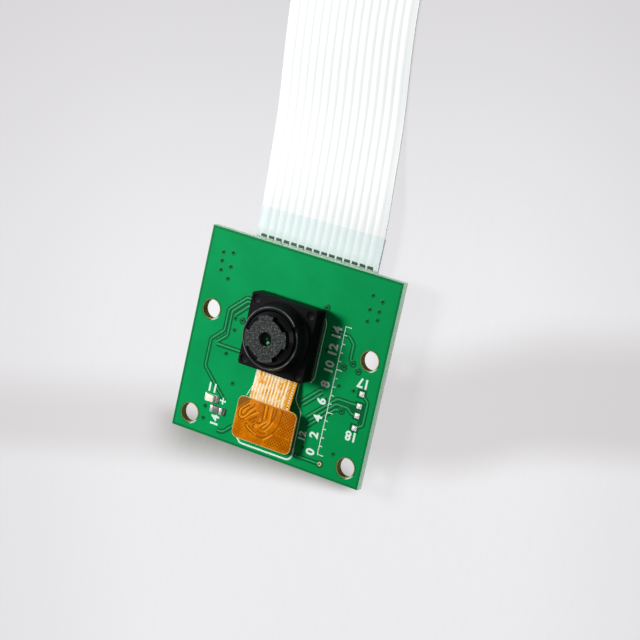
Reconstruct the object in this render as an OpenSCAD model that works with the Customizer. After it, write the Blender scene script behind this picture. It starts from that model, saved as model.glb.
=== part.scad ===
// Fixed-focus camera module: a square circuit board with a threaded lens head on a flex tail,
// and a flat ribbon cable held in a sliding-latch connector on the board's back. Millimetres.
// Origin: the middle of the four mounting holes, on the board's front face.
// +Z points out of the lens and +Y runs along the ribbon cable.

/* [Board] */
// Width of the board, across the cable
board_w = 25; // [22.5:0.5:30]
// Length of the board, along the cable
board_l = 24; // [21.5:0.5:30]
// Thickness of the board
board_t = 1.0; // [0.8:0.1:1.6]
// Thickness of the tinned copper pads
pad_t = 0.04; // [0.02:0.01:0.1]

/* [Mounting holes] */
// Diameter of each mounting hole
hole_d = 2.2; // [1.6:0.1:2.6]
// Distance from the holes' centres to the board's side edges
hole_side = 2; // [1.6:0.1:3]
// Distance between the holes along the board
hole_pitch_y = 12.5; // [12:0.5:13]
// Distance from the lower holes' centres to the board's lower edge
hole_edge = 2; // [1.6:0.1:3]

/* [Lens head] */
// Distance of the lens axis above the middle of the hole pattern
head_up = 6.15; // [5.8:0.05:6.6]
// Width of the square lens housing
head_w = 8.5; // [8.2:0.1:9]
// Height of the square part of the lens housing
shoulder_h = 1.85; // [1.6:0.05:2.4]
// Height of the round tower above the square part
tower_h = 1.7; // [1.2:0.1:2.4]
// Radius of the tower at its foot
tower_foot_r = 3.9; // [3.7:0.05:4.05]
// Radius of the tower at its rim
tower_rim_r = 3.5; // [3.4:0.05:3.7]
// Radius of the threaded bore that takes the lens barrel
bore_r = 3.1; // [2.9:0.05:3.25]
// Thickness of the shelf under the threaded bore
shelf_t = 0.35; // [0.2:0.05:0.5]
// Width of the window through the shelf
window_w = 4.2; // [3.6:0.1:4.6]
// Radius of the four ejector marks in the shoulder's corners
mark_r = 0.5; // [0.3:0.02:0.6]
// Depth of the ejector marks
mark_depth = 0.12; // [0.05:0.01:0.3]

/* [Lens barrel] */
// Distance that the barrel stands proud of the tower's rim
barrel_proud = 1.05; // [0.8:0.05:1.4]
// Radius of the barrel's face over the four key lobes
lobe_r = 2.65; // [2.5:0.05:2.8]
// Radius of the barrel's face between the lobes
face_r = 2.25; // [2.1:0.05:2.4]
// Height of the face above the barrel's collar
face_h = 0.55; // [0.3:0.05:0.7]
// Angle that each lobe takes
lobe_angle = 44; // [30:2:60]
// Angle of the first lobe from +X
lobe_turn = 12; // [0:1:45]
// Radius of the aperture
aperture_r = 0.6; // [0.4:0.02:0.7]
// Radius of the aperture's countersink at the face
countersink_r = 0.8; // [0.75:0.05:1.2]
// Thread pitch of the barrel
thread_pitch = 0.35; // [0.25:0.05:0.5]
// Thread depth of the barrel
thread_depth = 0.12; // [0.08:0.01:0.2]
// Thickness of the barrel's front wall over the first lens
front_wall = 0.5; // [0.3:0.05:0.7]
// Radial step of the barrel's bore from each lens to the next
lens_step = 0.24; // [0.15:0.01:0.26]
// Radius of the front lens
lens_r = 1.3; // [1.1:0.05:1.35]

/* [Layers under the lens head] */
// Thickness of the adhesive foam pad
foam_t = 0.35; // [0.2:0.05:0.6]
// Thickness of the steel plate under the flex
plate_t = 0.1; // [0.08:0.01:0.2]
// Thickness of the flex circuit
flex_t = 0.12; // [0.08:0.01:0.2]
// Thickness of the rigid substrate that carries the sensor
substrate_t = 0.28; // [0.2:0.02:0.4]
// Width of the sensor die
die_w = 5.4; // [4.6:0.1:5.8]
// Length of the sensor die
die_l = 4.6; // [4:0.1:5.4]
// Thickness of the sensor die
die_t = 0.3; // [0.2:0.02:0.4]
// Width of the square infrared filter
filter_w = 5.0; // [4.8:0.1:5.6]
// Thickness of the infrared filter
filter_t = 0.3; // [0.2:0.02:0.35]

/* [Flex tail] */
// Width of the flex neck
neck_w = 5.3; // [4.6:0.1:6.4]
// Length of the neck between the housing and the flex head
neck_l = 3.8; // [3:0.1:5]
// Width of the flex head
tail_w = 7.7; // [7.4:0.1:9]
// Length of the flex head
tail_l = 4.9; // [4.4:0.1:5.5]
// Corner radius of the flex head
tail_r = 0.7; // [0.4:0.1:1.2]
// Thickness of the stiffener on the flex head
tail_plate_t = 0.18; // [0.1:0.02:0.3]

/* [Board-to-board connector] */
// Outer width of the receptacle
socket_w = 6.8; // [6.6:0.1:7.2]
// Outer length of the receptacle
socket_l = 3.4; // [3.2:0.1:3.8]
// Height of the receptacle
socket_h = 0.75; // [0.6:0.05:0.85]
// Mated height of plug and receptacle
mated_h = 1.0; // [0.95:0.05:1.3]
// Wall of the receptacle
socket_wall = 0.42; // [0.3:0.02:0.5]
// Floor of the receptacle
socket_floor = 0.2; // [0.15:0.05:0.3]
// Contact pitch
socket_pitch = 0.4; // [0.35:0.05:0.4]
// Contacts in each of the two rows
socket_ways = 12; // [8:1:12]

/* [Ribbon connector] */
// Conductors in the ribbon cable
ways = 15; // [10:1:15]
// Conductor pitch
pitch = 1.0; // [0.9:0.1:1]
// Width of the connector housing without the latch's arms
conn_w = 19.2; // [18.8:0.1:19.6]
// Depth of the connector housing along the cable
conn_l = 4.2; // [4:0.1:4.6]
// Height of the connector housing from the board
conn_h = 2.6; // [2.4:0.1:3]
// Distance of the closed latch's front from the board's edge
conn_setback = 0.5; // [0.2:0.1:1.5]
// Height of the cable's middle above the board's back face
cable_level = 1.2; // [1.1:0.05:1.3]
// Thickness of a connector contact
contact_t = 0.3; // [0.2:0.02:0.4]

/* [Latch] */
// Travel of the latch from closed to open
latch_travel = 1.0; // [0.6:0.1:1.2]
// Thickness of the latch's front bar
latch_bar = 1.1; // [0.9:0.1:1.4]
// Thickness of the latch's side arms
latch_arm = 0.6; // [0.5:0.05:0.8]
// Length of the latch's side arms behind the bar
arm_l = 2.95; // [2.7:0.05:3.1]
// Length of the stop nub on each side of the housing
nub_l = 0.4; // [0.3:0.05:0.6]
// Distance that each finger ear stands out from the latch's arm
ear_out = 0.45; // [0.3:0.05:0.8]
// Corner radius of the finger ears
ear_r = 0.35; // [0.2:0.05:0.4]

/* [Ribbon cable] */
// Width of the ribbon cable
cable_w = 16; // [15.6:0.1:16]
// Thickness of the ribbon cable
cable_t = 0.2; // [0.15:0.01:0.22]
// Width of each conductor
conductor_w = 0.7; // [0.5:0.05:0.8]
// Thickness of each exposed conductor
conductor_t = 0.05; // [0.03:0.01:0.07]
// Length of the bare conductors at each end
bare_l = 5.15; // [4.5:0.05:5.5]
// Length of the stiffener at each end
stiffener_l = 8.5; // [8:0.1:9]
// Thickness of the stiffener
stiffener_t = 0.2; // [0.15:0.01:0.22]

/* [Chip parts] */
// Length, width and height of the small chip parts
chip_small = [1.0, 0.5, 0.5];
// Length, width and height of the large chip parts
chip_large = [1.6, 0.8, 0.8];
// Length of each plated end as a share of a chip's length
chip_end = 0.24; // [0.15:0.01:0.3]
// Length of the indicator lamp
lamp_l = 1.6; // [1.4:0.1:2]
// Width of the indicator lamp
lamp_w = 0.8; // [0.7:0.05:1]
// Height of the lamp's white base
lamp_base_h = 0.25; // [0.15:0.05:0.4]
// Height of the lamp's clear top
lamp_top_h = 0.35; // [0.2:0.05:0.5]
// Length of a regulator's body
reg_l = 2.9; // [2.6:0.1:3]
// Width of a regulator's body
reg_w = 1.6; // [1.4:0.1:1.8]
// Height of a regulator's body above its leads' feet
reg_h = 1.05; // [0.9:0.05:1.2]
// Width of a regulator's lead
reg_lead_w = 0.4; // [0.3:0.05:0.45]
// Length of the clock oscillator
osc_l = 3.2; // [2.5:0.1:3.4]
// Width of the clock oscillator
osc_w = 2.5; // [2:0.1:2.8]
// Height of the oscillator's ceramic base
osc_base_h = 0.5; // [0.4:0.05:0.7]
// Thickness of the oscillator's metal lid
osc_lid_h = 0.2; // [0.1:0.05:0.3]

/* [Clearances] */
// Clearance of the thread, and of each lens in its bore
fit_gap = 0.03; // [0.01:0.01:0.05]
// Clearance round the moving latch and the cable's end
slide_gap = 0.06; // [0.04:0.01:0.08]

/* [Hidden] */
$fn = 64;

// Edges of the board, and the holes' places
board_side = board_w / 2;
board_low = -hole_pitch_y / 2 - hole_edge;
board_high = board_low + board_l;
back = -board_t;
hole_x = board_side - hole_side;
hole_y = hole_pitch_y / 2;

// Heights of the layers of the lens head
plate_z = foam_t;
flex_z = plate_z + plate_t;
substrate_z = flex_z + flex_t;
housing_z = substrate_z + substrate_t;
shoulder_z = housing_z + shoulder_h;
rim_z = shoulder_z + tower_h;
face_z = rim_z + barrel_proud;
collar_z = face_z - face_h;
filter_clear = 0.15;
shelf_z = housing_z + die_t + filter_clear + filter_t + 0.15;
bore_z = shelf_z + shelf_t;
barrel_z = bore_z + fit_gap;
barrel_r = bore_r - fit_gap;
layer_inset = 0.1;
housing_wall = 0.8;
housing_corner_r = 0.35;
rim_bevel = 0.12;
mark_inset = 0.72;

// Lens stack: four moulded lenses and three baffles, seated from the rear of the barrel
lens_count = 4;
baffle_t = 0.05;
retainer_t = 0.2;
lens_top = face_z - front_wall;
stack_room = lens_top - barrel_z - retainer_t - (lens_count - 1) * baffle_t;
lens_share = [0.27, 0.2, 0.28, 0.25];
lens_names = ["front_lens", "second_lens", "third_lens", "rear_lens"];
lens_clear = 0.78;
function lens_rim_r(i) = lens_r + i * lens_step;
function lens_t(i) = stack_room * lens_share[i];
function lens_low(i) = i < 0 ? lens_top : lens_low(i - 1) - (i > 0 ? baffle_t : 0) - lens_t(i);
retainer_z = lens_low(lens_count - 1) - retainer_t;

// Places of the flex tail and the board-to-board connector
neck_top = head_up - head_w / 2;
tail_top = neck_top - neck_l;
tail_y = tail_top - tail_l / 2;
tail_z = mated_h;
socket_gap = 0.05;
island_w = 0.9;
island_margin = 0.5;
plug_w = socket_w - 2 * (socket_wall + socket_gap);
plug_l = socket_l - 2 * (socket_wall + socket_gap);
plug_z = socket_floor + socket_gap;
pin_t = 0.1;
pin_w = socket_pitch / 2;
pin_foot = 0.35;

// Places of the ribbon connector; depths run along +Y and heights run down from the board's back
latch_front = board_high - conn_setback;
conn_front = latch_front - latch_bar - slide_gap;
conn_rear = conn_front - conn_l;
cable_z = back - cable_level;
conn_base = back - conn_h;
rear_wall = 0.95;
rear_chamfer = 0.35;
floor_t = 0.6;
roof_t = 0.75;
groove_w = contact_t + 2 * fit_gap;
groove_front = 0.3;
cable_side_gap = 0.1;
slot_half_w = cable_w / 2 + cable_side_gap;
cable_under = cable_z - cable_t / 2 - stiffener_t;
slot_low = cable_under - slide_gap;
slot_high = cable_z + cable_t / 2 + slide_gap;
tongue_w = cable_w - 0.4;
tongue_l = 2.2;
tongue_low = conn_base + floor_t + slide_gap;
latch_half_w = conn_w / 2 + slide_gap + latch_arm;
latch_low = conn_base + 0.15;
latch_high = back - 0.3;
arm_low = cable_z - 0.95;
arm_high = cable_z + 0.6;
nub_half_h = 0.3;
nub_clear = 0.15;
nub_rear = conn_front - 0.45 - nub_l;
window_rear = nub_rear - latch_travel - slide_gap;
window_front = nub_rear + nub_l + slide_gap;
tab_t = 0.15;
tab_l = conn_l - arm_l - 3 * slide_gap;
tab_foot = 0.9;

// The contact's path, as distances from the housing's rear face and heights from the board's back
contact_foot = 0.85;
contact_tip_y = conn_l - 0.9;
contact_tip_z = cable_z + conductor_t + 0.01;
contact_beam_t = 0.2;

// The ribbon cable's route from its inserted end: distance along +Y, and height of its middle over
// the surface that it lies on, as shares of its height at the connector and of the far stiffener
cable_seat = conn_rear + rear_wall + slide_gap;
cable_rest = conn_base + cable_t / 2;
cable_points = [
    [0, 1, 0], [2, 1, 0], [4, 1, 0], [6.5, 1, 0], [8.6, 1, 0],
    [10.6, 0.95, 0], [12.6, 0.81, 0], [14.6, 0.6, 0], [16.6, 0.38, 0], [18.6, 0.2, 0],
    [20.6, 0.08, 0], [22.6, 0.02, 0], [25, 0, 0], [35, 0, 0], [50, 0, 0],
    [65, 0, 0], [80, 0, 0], [95, 0, 0], [110, 0, 0], [125, 0, 0],
    [135, 0, 0], [138, 0, 0.3], [139.5, 0, 0.7], [141, 0, 1], [145, 0, 1], [150, 0, 1]
];
cable_route = [
    for (p = cable_points)
        [cable_seat + p[0], cable_rest + p[1] * (cable_z - cable_rest) + p[2] * stiffener_t]
];
near_end = cable_route[0];
far_end = cable_route[len(cable_route) - 1];

// Unfitted resistor pads on the front, by the board's +X side
bare_pad_x = board_side - 2;
bare_pad_ys = [2.4, 1.0, -0.12, -1.58];
bare_pad_size = [0.58, 0.56];

// Places on the front, by the board's -X side: lamp and its resistor, as [x, y]
lamp_inset = 4.5;
led_resistor_inset = 5.55;
lamp_at = [lamp_inset - board_side, -3.7];
led_resistor_at = [led_resistor_inset - board_side, -4.83];
led_resistor_size = [1.6, 0.8, 0.45];

// Places on the back: [x, y, angle, size]
outer_inset = 3.8;
outer = board_side - outer_inset;
capacitors = [
    [outer, 2.4, 90, chip_large], [2.4, 3.2, 90, chip_large], [outer, -1.6, 90, chip_small],
    [2.4, -1.4, 90, chip_large], [-outer, 0.9, 90, chip_small], [-2.4, 2.9, 90, chip_small],
    [-2.2, -4.6, 90, chip_large], [1.0, -6.6, 0, chip_small], [3.4, -6.6, 0, chip_small]
];
resistors = [
    [-2.2, 5.7, 0, chip_small], [-0.2, 5.7, 0, chip_small], [-5.4, -6.8, 0, chip_small],
    [-0.4, 0.8, 90, chip_small]
];
ferrites = [[2.2, 5.6, 0, chip_large], [6.2, -6.4, 0, chip_large]];
regulators = [[5.4, 2.7, 90], [5.4, -2.0, 90], [-5.4, -3.9, 0]];
osc_at = [-5.4, 2.4];

// Gull-wing leads of the regulators
lead_t = 0.13;
lead_reach = 0.6;
lead_pitch = 0.95;
lead_bend = 0.2;
lead_slope = 0.14;
stand_off = 0.08;

fixed_nodes = [
    "board", "bare_pads", "foam_pad", "head_plate", "flex_tail", "sensor_substrate", "image_sensor",
    "lens_housing", "infrared_filter", "lens_barrel", "lens_baffles", "lens_retainer",
    "tail_plate", "flex_plug", "plug_pins", "receptacle", "receptacle_pins",
    "lamp_base", "lamp_top", "led_resistor", "ribbon_connector", "connector_contacts",
    "connector_tabs", "connector_latch", "ribbon_cable", "near_stiffener", "near_conductors",
    "far_stiffener", "far_conductors", "oscillator_base", "oscillator_lid"
];
function numbered(name, list) = [for (i = [1 : len(list)]) str(name, "_", i)];

// ---- shared shapes ----

// A box centred in X and Y, standing on z
module block(w, l, h, z = 0) {
    translate([-w / 2, -l / 2, z])
        cube([w, l, h]);
}

// A box given by its two opposite corners
module span_box(low, high) {
    translate(low)
        cube(high - low);
}

// A flat rectangle with true round corners
module rounded_rectangle(w, l, r) {
    square([w - 2 * r, l], center = true);
    square([w, l - 2 * r], center = true);
    for (x = [-1, 1], y = [-1, 1])
        translate([x * (w / 2 - r), y * (l / 2 - r)])
            circle(r = r, $fn = 32);
}

// A side profile drawn in Y and Z, made w wide across X
module across(w) {
    rotate([90, 0, 90])
        translate([0, 0, -w / 2])
            linear_extrude(w)
                children();
}

// Turns a part that stands on z = 0 to hang from the board's back face
module on_back(x, y, angle = 0) {
    translate([x, y, back])
        rotate([180, 0, angle])
            children();
}

// A copy at each place of a centred row
module row(count, step) {
    for (i = [0 : count - 1])
        translate([(i - (count - 1) / 2) * step, 0, 0])
            children();
}

// A ceramic chip part: a body between two slightly larger plated ends
module chip(size) {
    end_l = size.x * chip_end;
    body_inset = 0.03;
    block(size.x - end_l, size.y - 2 * body_inset, size.z - body_inset);
    for (side = [-1, 1])
        translate([side * (size.x - end_l) / 2, 0, 0])
            block(end_l, size.y, size.z);
}

// ---- board ----

module board() {
    color("seagreen")
        difference() {
            translate([-board_w / 2, board_low, back])
                cube([board_w, board_l, board_t]);
            for (x = [-1, 1], y = [-1, 1])
                translate([x * hole_x, y * hole_y, back - 1])
                    cylinder(d = hole_d, h = board_t + 2);
        }
}

module bare_pads() {
    color("silver")
        for (y = bare_pad_ys)
            translate([bare_pad_x, y, 0])
                block(bare_pad_size.x, bare_pad_size.y, pad_t);
}

// ---- lens head ----

module head_layer(w, t, z) {
    translate([0, head_up, z])
        block(w, w, t);
}

module foam_pad() {
    color("dimgray")
        head_layer(head_w - 4 * layer_inset, foam_t, 0);
}

module head_plate() {
    color("lightsteelblue")
        head_layer(head_w - 2 * layer_inset, plate_t, plate_z);
}

module sensor_substrate() {
    color("darkgreen")
        head_layer(head_w - 2 * layer_inset, substrate_t, substrate_z);
}

module image_sensor() {
    color("slategray")
        translate([0, head_up, housing_z])
            block(die_w, die_l, die_t);
}

module infrared_filter() {
    color("paleturquoise")
        translate([0, head_up, shelf_z - filter_t])
            block(filter_w, filter_w, filter_t);
}

// The tower's outline, turned round the lens axis: a drafted wall with a bevelled rim
module tower_profile() {
    polygon([
        [0, shoulder_z - 0.2],
        [tower_foot_r + 0.1, shoulder_z - 0.2],
        [tower_foot_r + 0.1, shoulder_z],
        [tower_foot_r, shoulder_z + 0.1],
        [tower_rim_r + 0.06, rim_z - rim_bevel],
        [tower_rim_r, rim_z],
        [0, rim_z]
    ]);
}

module lens_housing() {
    cavity_w = head_w - 2 * housing_wall;
    pocket_w = filter_w + 2 * fit_gap;
    key_w = 0.7;
    color([0.12, 0.12, 0.13])
        translate([0, head_up, 0])
            difference() {
                union() {
                    translate([0, 0, housing_z])
                        linear_extrude(shoulder_h)
                            rounded_rectangle(head_w, head_w, housing_corner_r);
                    rotate_extrude()
                        tower_profile();
                }
                block(cavity_w, cavity_w, die_t + filter_clear + 1, housing_z - 1);
                block(pocket_w, pocket_w, shelf_z - housing_z + 1, housing_z - 1);
                block(window_w, window_w, bore_z - housing_z, housing_z);
                translate([0, 0, bore_z])
                    cylinder(r = bore_r, h = rim_z - bore_z + 1);
                translate([0, 0, rim_z - rim_bevel])
                    cylinder(r1 = bore_r, r2 = bore_r + 2 * rim_bevel, h = 2 * rim_bevel);
                for (x = [-1, 1], y = [-1, 1])
                    translate([
                        x * (head_w / 2 - mark_inset), y * (head_w / 2 - mark_inset),
                        shoulder_z - mark_depth
                    ])
                        cylinder(r = mark_r, h = 1, $fn = 32);
                rotate([0, 0, 32])
                    translate([bore_r, -key_w / 2, rim_z - 2 * rim_bevel])
                        cube([1, key_w, 1]);
            }
}

// The barrel's outside: thread turns up to the collar, as a zigzag that a loop works out
function thread_outline() =
    let (
        z_low = barrel_z,
        z_high = rim_z + 0.25,
        turns = floor((z_high - z_low) / thread_pitch)
    )
    [
        for (i = [0 : turns - 1])
            each [
                [barrel_r - thread_depth, z_low + i * thread_pitch],
                [barrel_r, z_low + (i + 0.4) * thread_pitch],
                [barrel_r, z_low + (i + 0.6) * thread_pitch]
            ],
        [barrel_r - thread_depth, z_low + turns * thread_pitch]
    ];

module barrel_body() {
    rotate_extrude()
        polygon(concat(
            [[0, barrel_z]],
            thread_outline(),
            [[lobe_r + 0.12, collar_z], [0, collar_z]]
        ));
}

// The face that a key turns: a disc with four lobes
module key_face() {
    translate([0, 0, collar_z - 0.1]) {
        cylinder(r = face_r, h = face_h + 0.1);
        for (i = [0 : 3])
            rotate([0, 0, lobe_turn + 90 * i - lobe_angle / 2])
                rotate_extrude(angle = lobe_angle)
                    translate([face_r - 0.5, 0])
                        square([lobe_r - face_r + 0.5, face_h + 0.1]);
    }
}

module lens_barrel() {
    color([0.2, 0.2, 0.21])
        translate([0, head_up, 0])
            difference() {
                union() {
                    barrel_body();
                    key_face();
                }
                translate([0, 0, lens_top - 1])
                    cylinder(r = aperture_r, h = front_wall + 2);
                translate([0, 0, face_z - (countersink_r - aperture_r)])
                    cylinder(r1 = aperture_r, r2 = 2 * countersink_r - aperture_r,
                             h = 2 * (countersink_r - aperture_r));
                translate([0, 0, lens_top - 0.01])
                    cylinder(r1 = lens_r * lens_clear + fit_gap, r2 = aperture_r, h = front_wall / 2);
                for (i = [0 : lens_count - 1])
                    translate([0, 0, barrel_z - 1])
                        cylinder(r = lens_rim_r(i) + fit_gap, h = lens_low(i - 1) - barrel_z + 1);
            }
}

// Height of a lens surface at radius r: a dome or a dish inside the clear radius, then flat
function sag(r, clear_r, depth) = r >= clear_r ? 0 : depth * (1 - pow(r / clear_r, 2));

module lens(i, rise, dip) {
    steps = 8;
    rim = lens_rim_r(i);
    clear = rim * lens_clear;
    low = lens_low(i);
    top = low + lens_t(i);
    color("lightcyan")
        translate([0, head_up, 0])
            rotate_extrude()
                polygon(concat(
                    [for (k = [0 : steps]) [clear * k / steps, top + sag(clear * k / steps, clear, rise)]],
                    [[rim, top], [rim, low]],
                    [for (k = [steps : -1 : 0]) [clear * k / steps, low + sag(clear * k / steps, clear, dip)]]
                ));
}

// Rise of each front surface and dip of each rear surface, as shares of that lens's thickness
lens_rise = [0.1, -0.35, 0.0, -0.2];
lens_dip = [-0.1, 0.35, 0.4, 0.3];

module lens_at(i) {
    lens(i, lens_rise[i] * lens_t(i), lens_dip[i] * lens_t(i));
}

module lens_baffles() {
    color([0.05, 0.05, 0.05])
        translate([0, head_up, 0])
            for (i = [0 : lens_count - 2])
                translate([0, 0, lens_low(i) - baffle_t])
                    difference() {
                        cylinder(r = lens_rim_r(i), h = baffle_t);
                        translate([0, 0, -1])
                            cylinder(r = lens_rim_r(i) * 0.8, h = 2);
                    }
}

module lens_retainer() {
    rim = lens_rim_r(lens_count - 1);
    color([0.1, 0.1, 0.1])
        translate([0, head_up, retainer_z])
            difference() {
                cylinder(r = rim, h = retainer_t);
                translate([0, 0, -1])
                    cylinder(r1 = rim * 0.95, r2 = rim * 0.75, h = retainer_t + 2);
            }
}

// ---- flex tail and board-to-board connector ----

// Height of the neck's underside along its run: flat, then an even rise to the head
function neck_height(t) = flex_z + (tail_z - flex_z) * t * t * (3 - 2 * t);

module flex_tail() {
    steps = 12;
    run = [for (k = [0 : steps]) k / steps];
    color("orange") {
        translate([0, head_up, flex_z])
            block(head_w - 2 * layer_inset, head_w - 2 * layer_inset, flex_t);
        across(neck_w)
            polygon(concat(
                [[neck_top + 1, flex_z]],
                [for (t = run) [neck_top - neck_l * t, neck_height(t)]],
                [[tail_top - 1, tail_z], [tail_top - 1, tail_z + flex_t]],
                [for (k = [steps : -1 : 0]) [neck_top - neck_l * k / steps, neck_height(k / steps) + flex_t]],
                [[neck_top + 1, flex_z + flex_t]]
            ));
        translate([0, tail_y, tail_z])
            linear_extrude(flex_t)
                rounded_rectangle(tail_w, tail_l, tail_r);
    }
}

module tail_plate() {
    color("darkorange")
        translate([0, tail_y, tail_z + flex_t])
            linear_extrude(tail_plate_t)
                rounded_rectangle(tail_w, tail_l, tail_r);
}

module receptacle() {
    color("ivory")
        translate([0, tail_y, 0]) {
            difference() {
                block(socket_w, socket_l, socket_h);
                block(socket_w - 2 * socket_wall, socket_l - 2 * socket_wall, socket_h, socket_floor);
            }
            block(plug_w - 2 * island_margin, island_w, socket_h - socket_gap);
        }
}

module flex_plug() {
    pocket_w = plug_w - 2 * island_margin + 2 * socket_gap;
    color("black")
        translate([0, tail_y, 0])
            difference() {
                block(plug_w, plug_l, mated_h - plug_z, plug_z);
                block(pocket_w, island_w + 2 * socket_gap, socket_h, plug_z - socket_gap);
            }
}

// Both rows of pins; each child is drawn on the +Y side
module pin_rows() {
    translate([0, tail_y, 0])
        for (side = [0, 180])
            rotate([0, 0, side])
                row(socket_ways, socket_pitch)
                    children();
}

module receptacle_pins() {
    color("gold")
        pin_rows() {
            span_box([-pin_w / 2, socket_l / 2, 0], [pin_w / 2, socket_l / 2 + pin_foot, pin_t]);
            span_box([-pin_w / 2, socket_l / 2, 0], [pin_w / 2, socket_l / 2 + pin_t, socket_h * 0.7]);
        }
}

module plug_pins() {
    color("gold")
        pin_rows()
            span_box([-pin_w / 2, plug_l / 2, mated_h - pin_t], [pin_w / 2, plug_l / 2 + pin_foot, mated_h]);
}

// ---- lamp on the front ----

module lamp_base() {
    color("white")
        translate([lamp_at.x, lamp_at.y, 0])
            block(lamp_l, lamp_w, lamp_base_h);
}

module lamp_top() {
    top_l = lamp_l * 0.7;
    draft = 0.06;
    color("lightyellow")
        translate([lamp_at.x, lamp_at.y, lamp_base_h])
            across_x(lamp_w)
                polygon([
                    [-top_l / 2, 0], [top_l / 2, 0],
                    [top_l / 2 - draft, lamp_top_h], [draft - top_l / 2, lamp_top_h]
                ]);
}

// A profile drawn in X and Z, made l long across Y
module across_x(l) {
    rotate([90, 0, 0])
        translate([0, 0, -l / 2])
            linear_extrude(l)
                children();
}

module led_resistor() {
    color("dimgray")
        translate([led_resistor_at.x, led_resistor_at.y, 0])
            chip(led_resistor_size);
}

// ---- ribbon connector ----

// The housing: a tray open at the front, with a groove through its roof for each contact
module ribbon_connector() {
    cavity_rear = conn_rear + rear_wall;
    color("antiquewhite") {
        difference() {
            span_box([-conn_w / 2, conn_rear, conn_base], [conn_w / 2, conn_front, back]);
            span_box(
                [-slot_half_w, cavity_rear, conn_base + floor_t],
                [slot_half_w, conn_front + 1, back - roof_t]
            );
            row(ways, pitch)
                span_box(
                    [-groove_w / 2, conn_rear - 1, back - roof_t],
                    [groove_w / 2, conn_front - groove_front, back + 1]
                );
            row(ways, pitch)
                span_box(
                    [-groove_w / 2, conn_rear + rear_wall / 2, back - roof_t - 0.4],
                    [groove_w / 2, cavity_rear + 1, back - roof_t + 0.1]
                );
            across(conn_w + 1)
                polygon([
                    [conn_rear - rear_chamfer, conn_base - rear_chamfer],
                    [conn_rear + 2 * rear_chamfer, conn_base - rear_chamfer],
                    [conn_rear - rear_chamfer, conn_base + 2 * rear_chamfer]
                ]);
        }
        for (side = [-1, 1])
            translate([side * conn_w / 2, nub_rear + nub_l / 2, cable_z])
                block(2 * (latch_arm + slide_gap - nub_clear), nub_l, 2 * nub_half_h, -nub_half_h);
    }
}

// One contact seen from the side: a soldered foot, a root in the groove and a sprung beam
module contact_profile() {
    root = conn_rear + rear_wall - 2 * fit_gap;
    tip = conn_rear + contact_tip_y;
    beam_z = back - roof_t + 0.3;
    polygon([
        [conn_rear - contact_foot, back],
        [tip - 0.6, back],
        [tip - 0.6, back - contact_beam_t],
        [root, back - contact_beam_t],
        [root, beam_z],
        [tip - 0.7, beam_z - contact_beam_t],
        [tip, contact_tip_z + contact_beam_t],
        [tip + 0.25, contact_tip_z + contact_beam_t * 1.6],
        [tip + 0.25, contact_tip_z + contact_beam_t * 0.6],
        [tip + 0.06, contact_tip_z],
        [tip - 0.1, contact_tip_z],
        [tip - 0.75, beam_z - 2 * contact_beam_t],
        [root, beam_z - contact_beam_t],
        [root, back - roof_t - 0.3],
        [root - 0.35, back - roof_t - 0.3],
        [root - 0.35, back - contact_beam_t],
        [conn_rear - contact_foot, back - contact_beam_t]
    ]);
}

module connector_contacts() {
    color("gold")
        row(ways, pitch)
            across(contact_t)
                contact_profile();
}

module connector_tabs() {
    color("silver")
        for (side = [0, 1])
            mirror([side, 0, 0]) {
                span_box([conn_w / 2, conn_rear, back - tab_t], [conn_w / 2 + tab_foot, conn_rear + tab_l, back]);
                span_box([conn_w / 2, conn_rear, cable_z], [conn_w / 2 + tab_t, conn_rear + tab_l, back]);
            }
}

// The latch: a bar round the cable with an ear at each end for a fingernail, a tongue that goes in
// under the cable and an arm on each side
module connector_latch() {
    bar_rear = latch_front - latch_bar;
    arm_rear = bar_rear - arm_l;
    color([0.25, 0.2, 0.17])
        difference() {
            union() {
                span_box([-latch_half_w, bar_rear, latch_low], [latch_half_w, latch_front, latch_high]);
                translate([0, latch_front - latch_bar / 2, arm_low])
                    linear_extrude(arm_high - arm_low)
                        rounded_rectangle(2 * (latch_half_w + ear_out), latch_bar, ear_r);
                span_box([-tongue_w / 2, bar_rear - tongue_l, tongue_low], [tongue_w / 2, bar_rear, slot_low]);
                for (side = [0, 1])
                    mirror([side, 0, 0])
                        span_box(
                            [latch_half_w - latch_arm, arm_rear, arm_low],
                            [latch_half_w, bar_rear, arm_high]
                        );
            }
            span_box([-slot_half_w, bar_rear - 1, slot_low], [slot_half_w, latch_front + 1, slot_high]);
            span_box(
                [-latch_half_w - 1, window_rear, cable_z - nub_half_h - slide_gap],
                [latch_half_w + 1, window_front, cable_z + nub_half_h + slide_gap]
            );
        }
}

// ---- ribbon cable ----

// The cable: a lower film all along, and an upper film that stops short at both ends
module ribbon_cable() {
    low = -cable_t / 2;
    high = cable_t / 2;
    near_bare = near_end.x + bare_l;
    far_bare = far_end.x - bare_l;
    far_to_near = [for (i = [len(cable_route) - 1 : -1 : 0]) cable_route[i]];
    color("whitesmoke")
        across(cable_w)
            polygon(concat(
                [for (p = cable_route) [p.x, p.y + low]],
                [[far_end.x, far_end.y], [far_bare, far_end.y], [far_bare, far_end.y + high]],
                [for (p = far_to_near) if (p.x > near_bare && p.x < far_bare) [p.x, p.y + high]],
                [[near_bare, near_end.y + high], [near_bare, near_end.y], [near_end.x, near_end.y]]
            ));
}

module conductors(low_y, high_y, z) {
    color("silver")
        row(ways, pitch)
            span_box([-conductor_w / 2, low_y, z], [conductor_w / 2, high_y, z + conductor_t]);
}

module near_conductors() {
    conductors(near_end.x, near_end.x + bare_l, near_end.y);
}

module far_conductors() {
    conductors(far_end.x - bare_l, far_end.x, far_end.y);
}

module stiffener(low_y, z) {
    color("deepskyblue")
        span_box([-cable_w / 2, low_y, z - stiffener_t], [cable_w / 2, low_y + stiffener_l, z]);
}

module near_stiffener() {
    stiffener(near_end.x, near_end.y - cable_t / 2);
}

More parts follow.
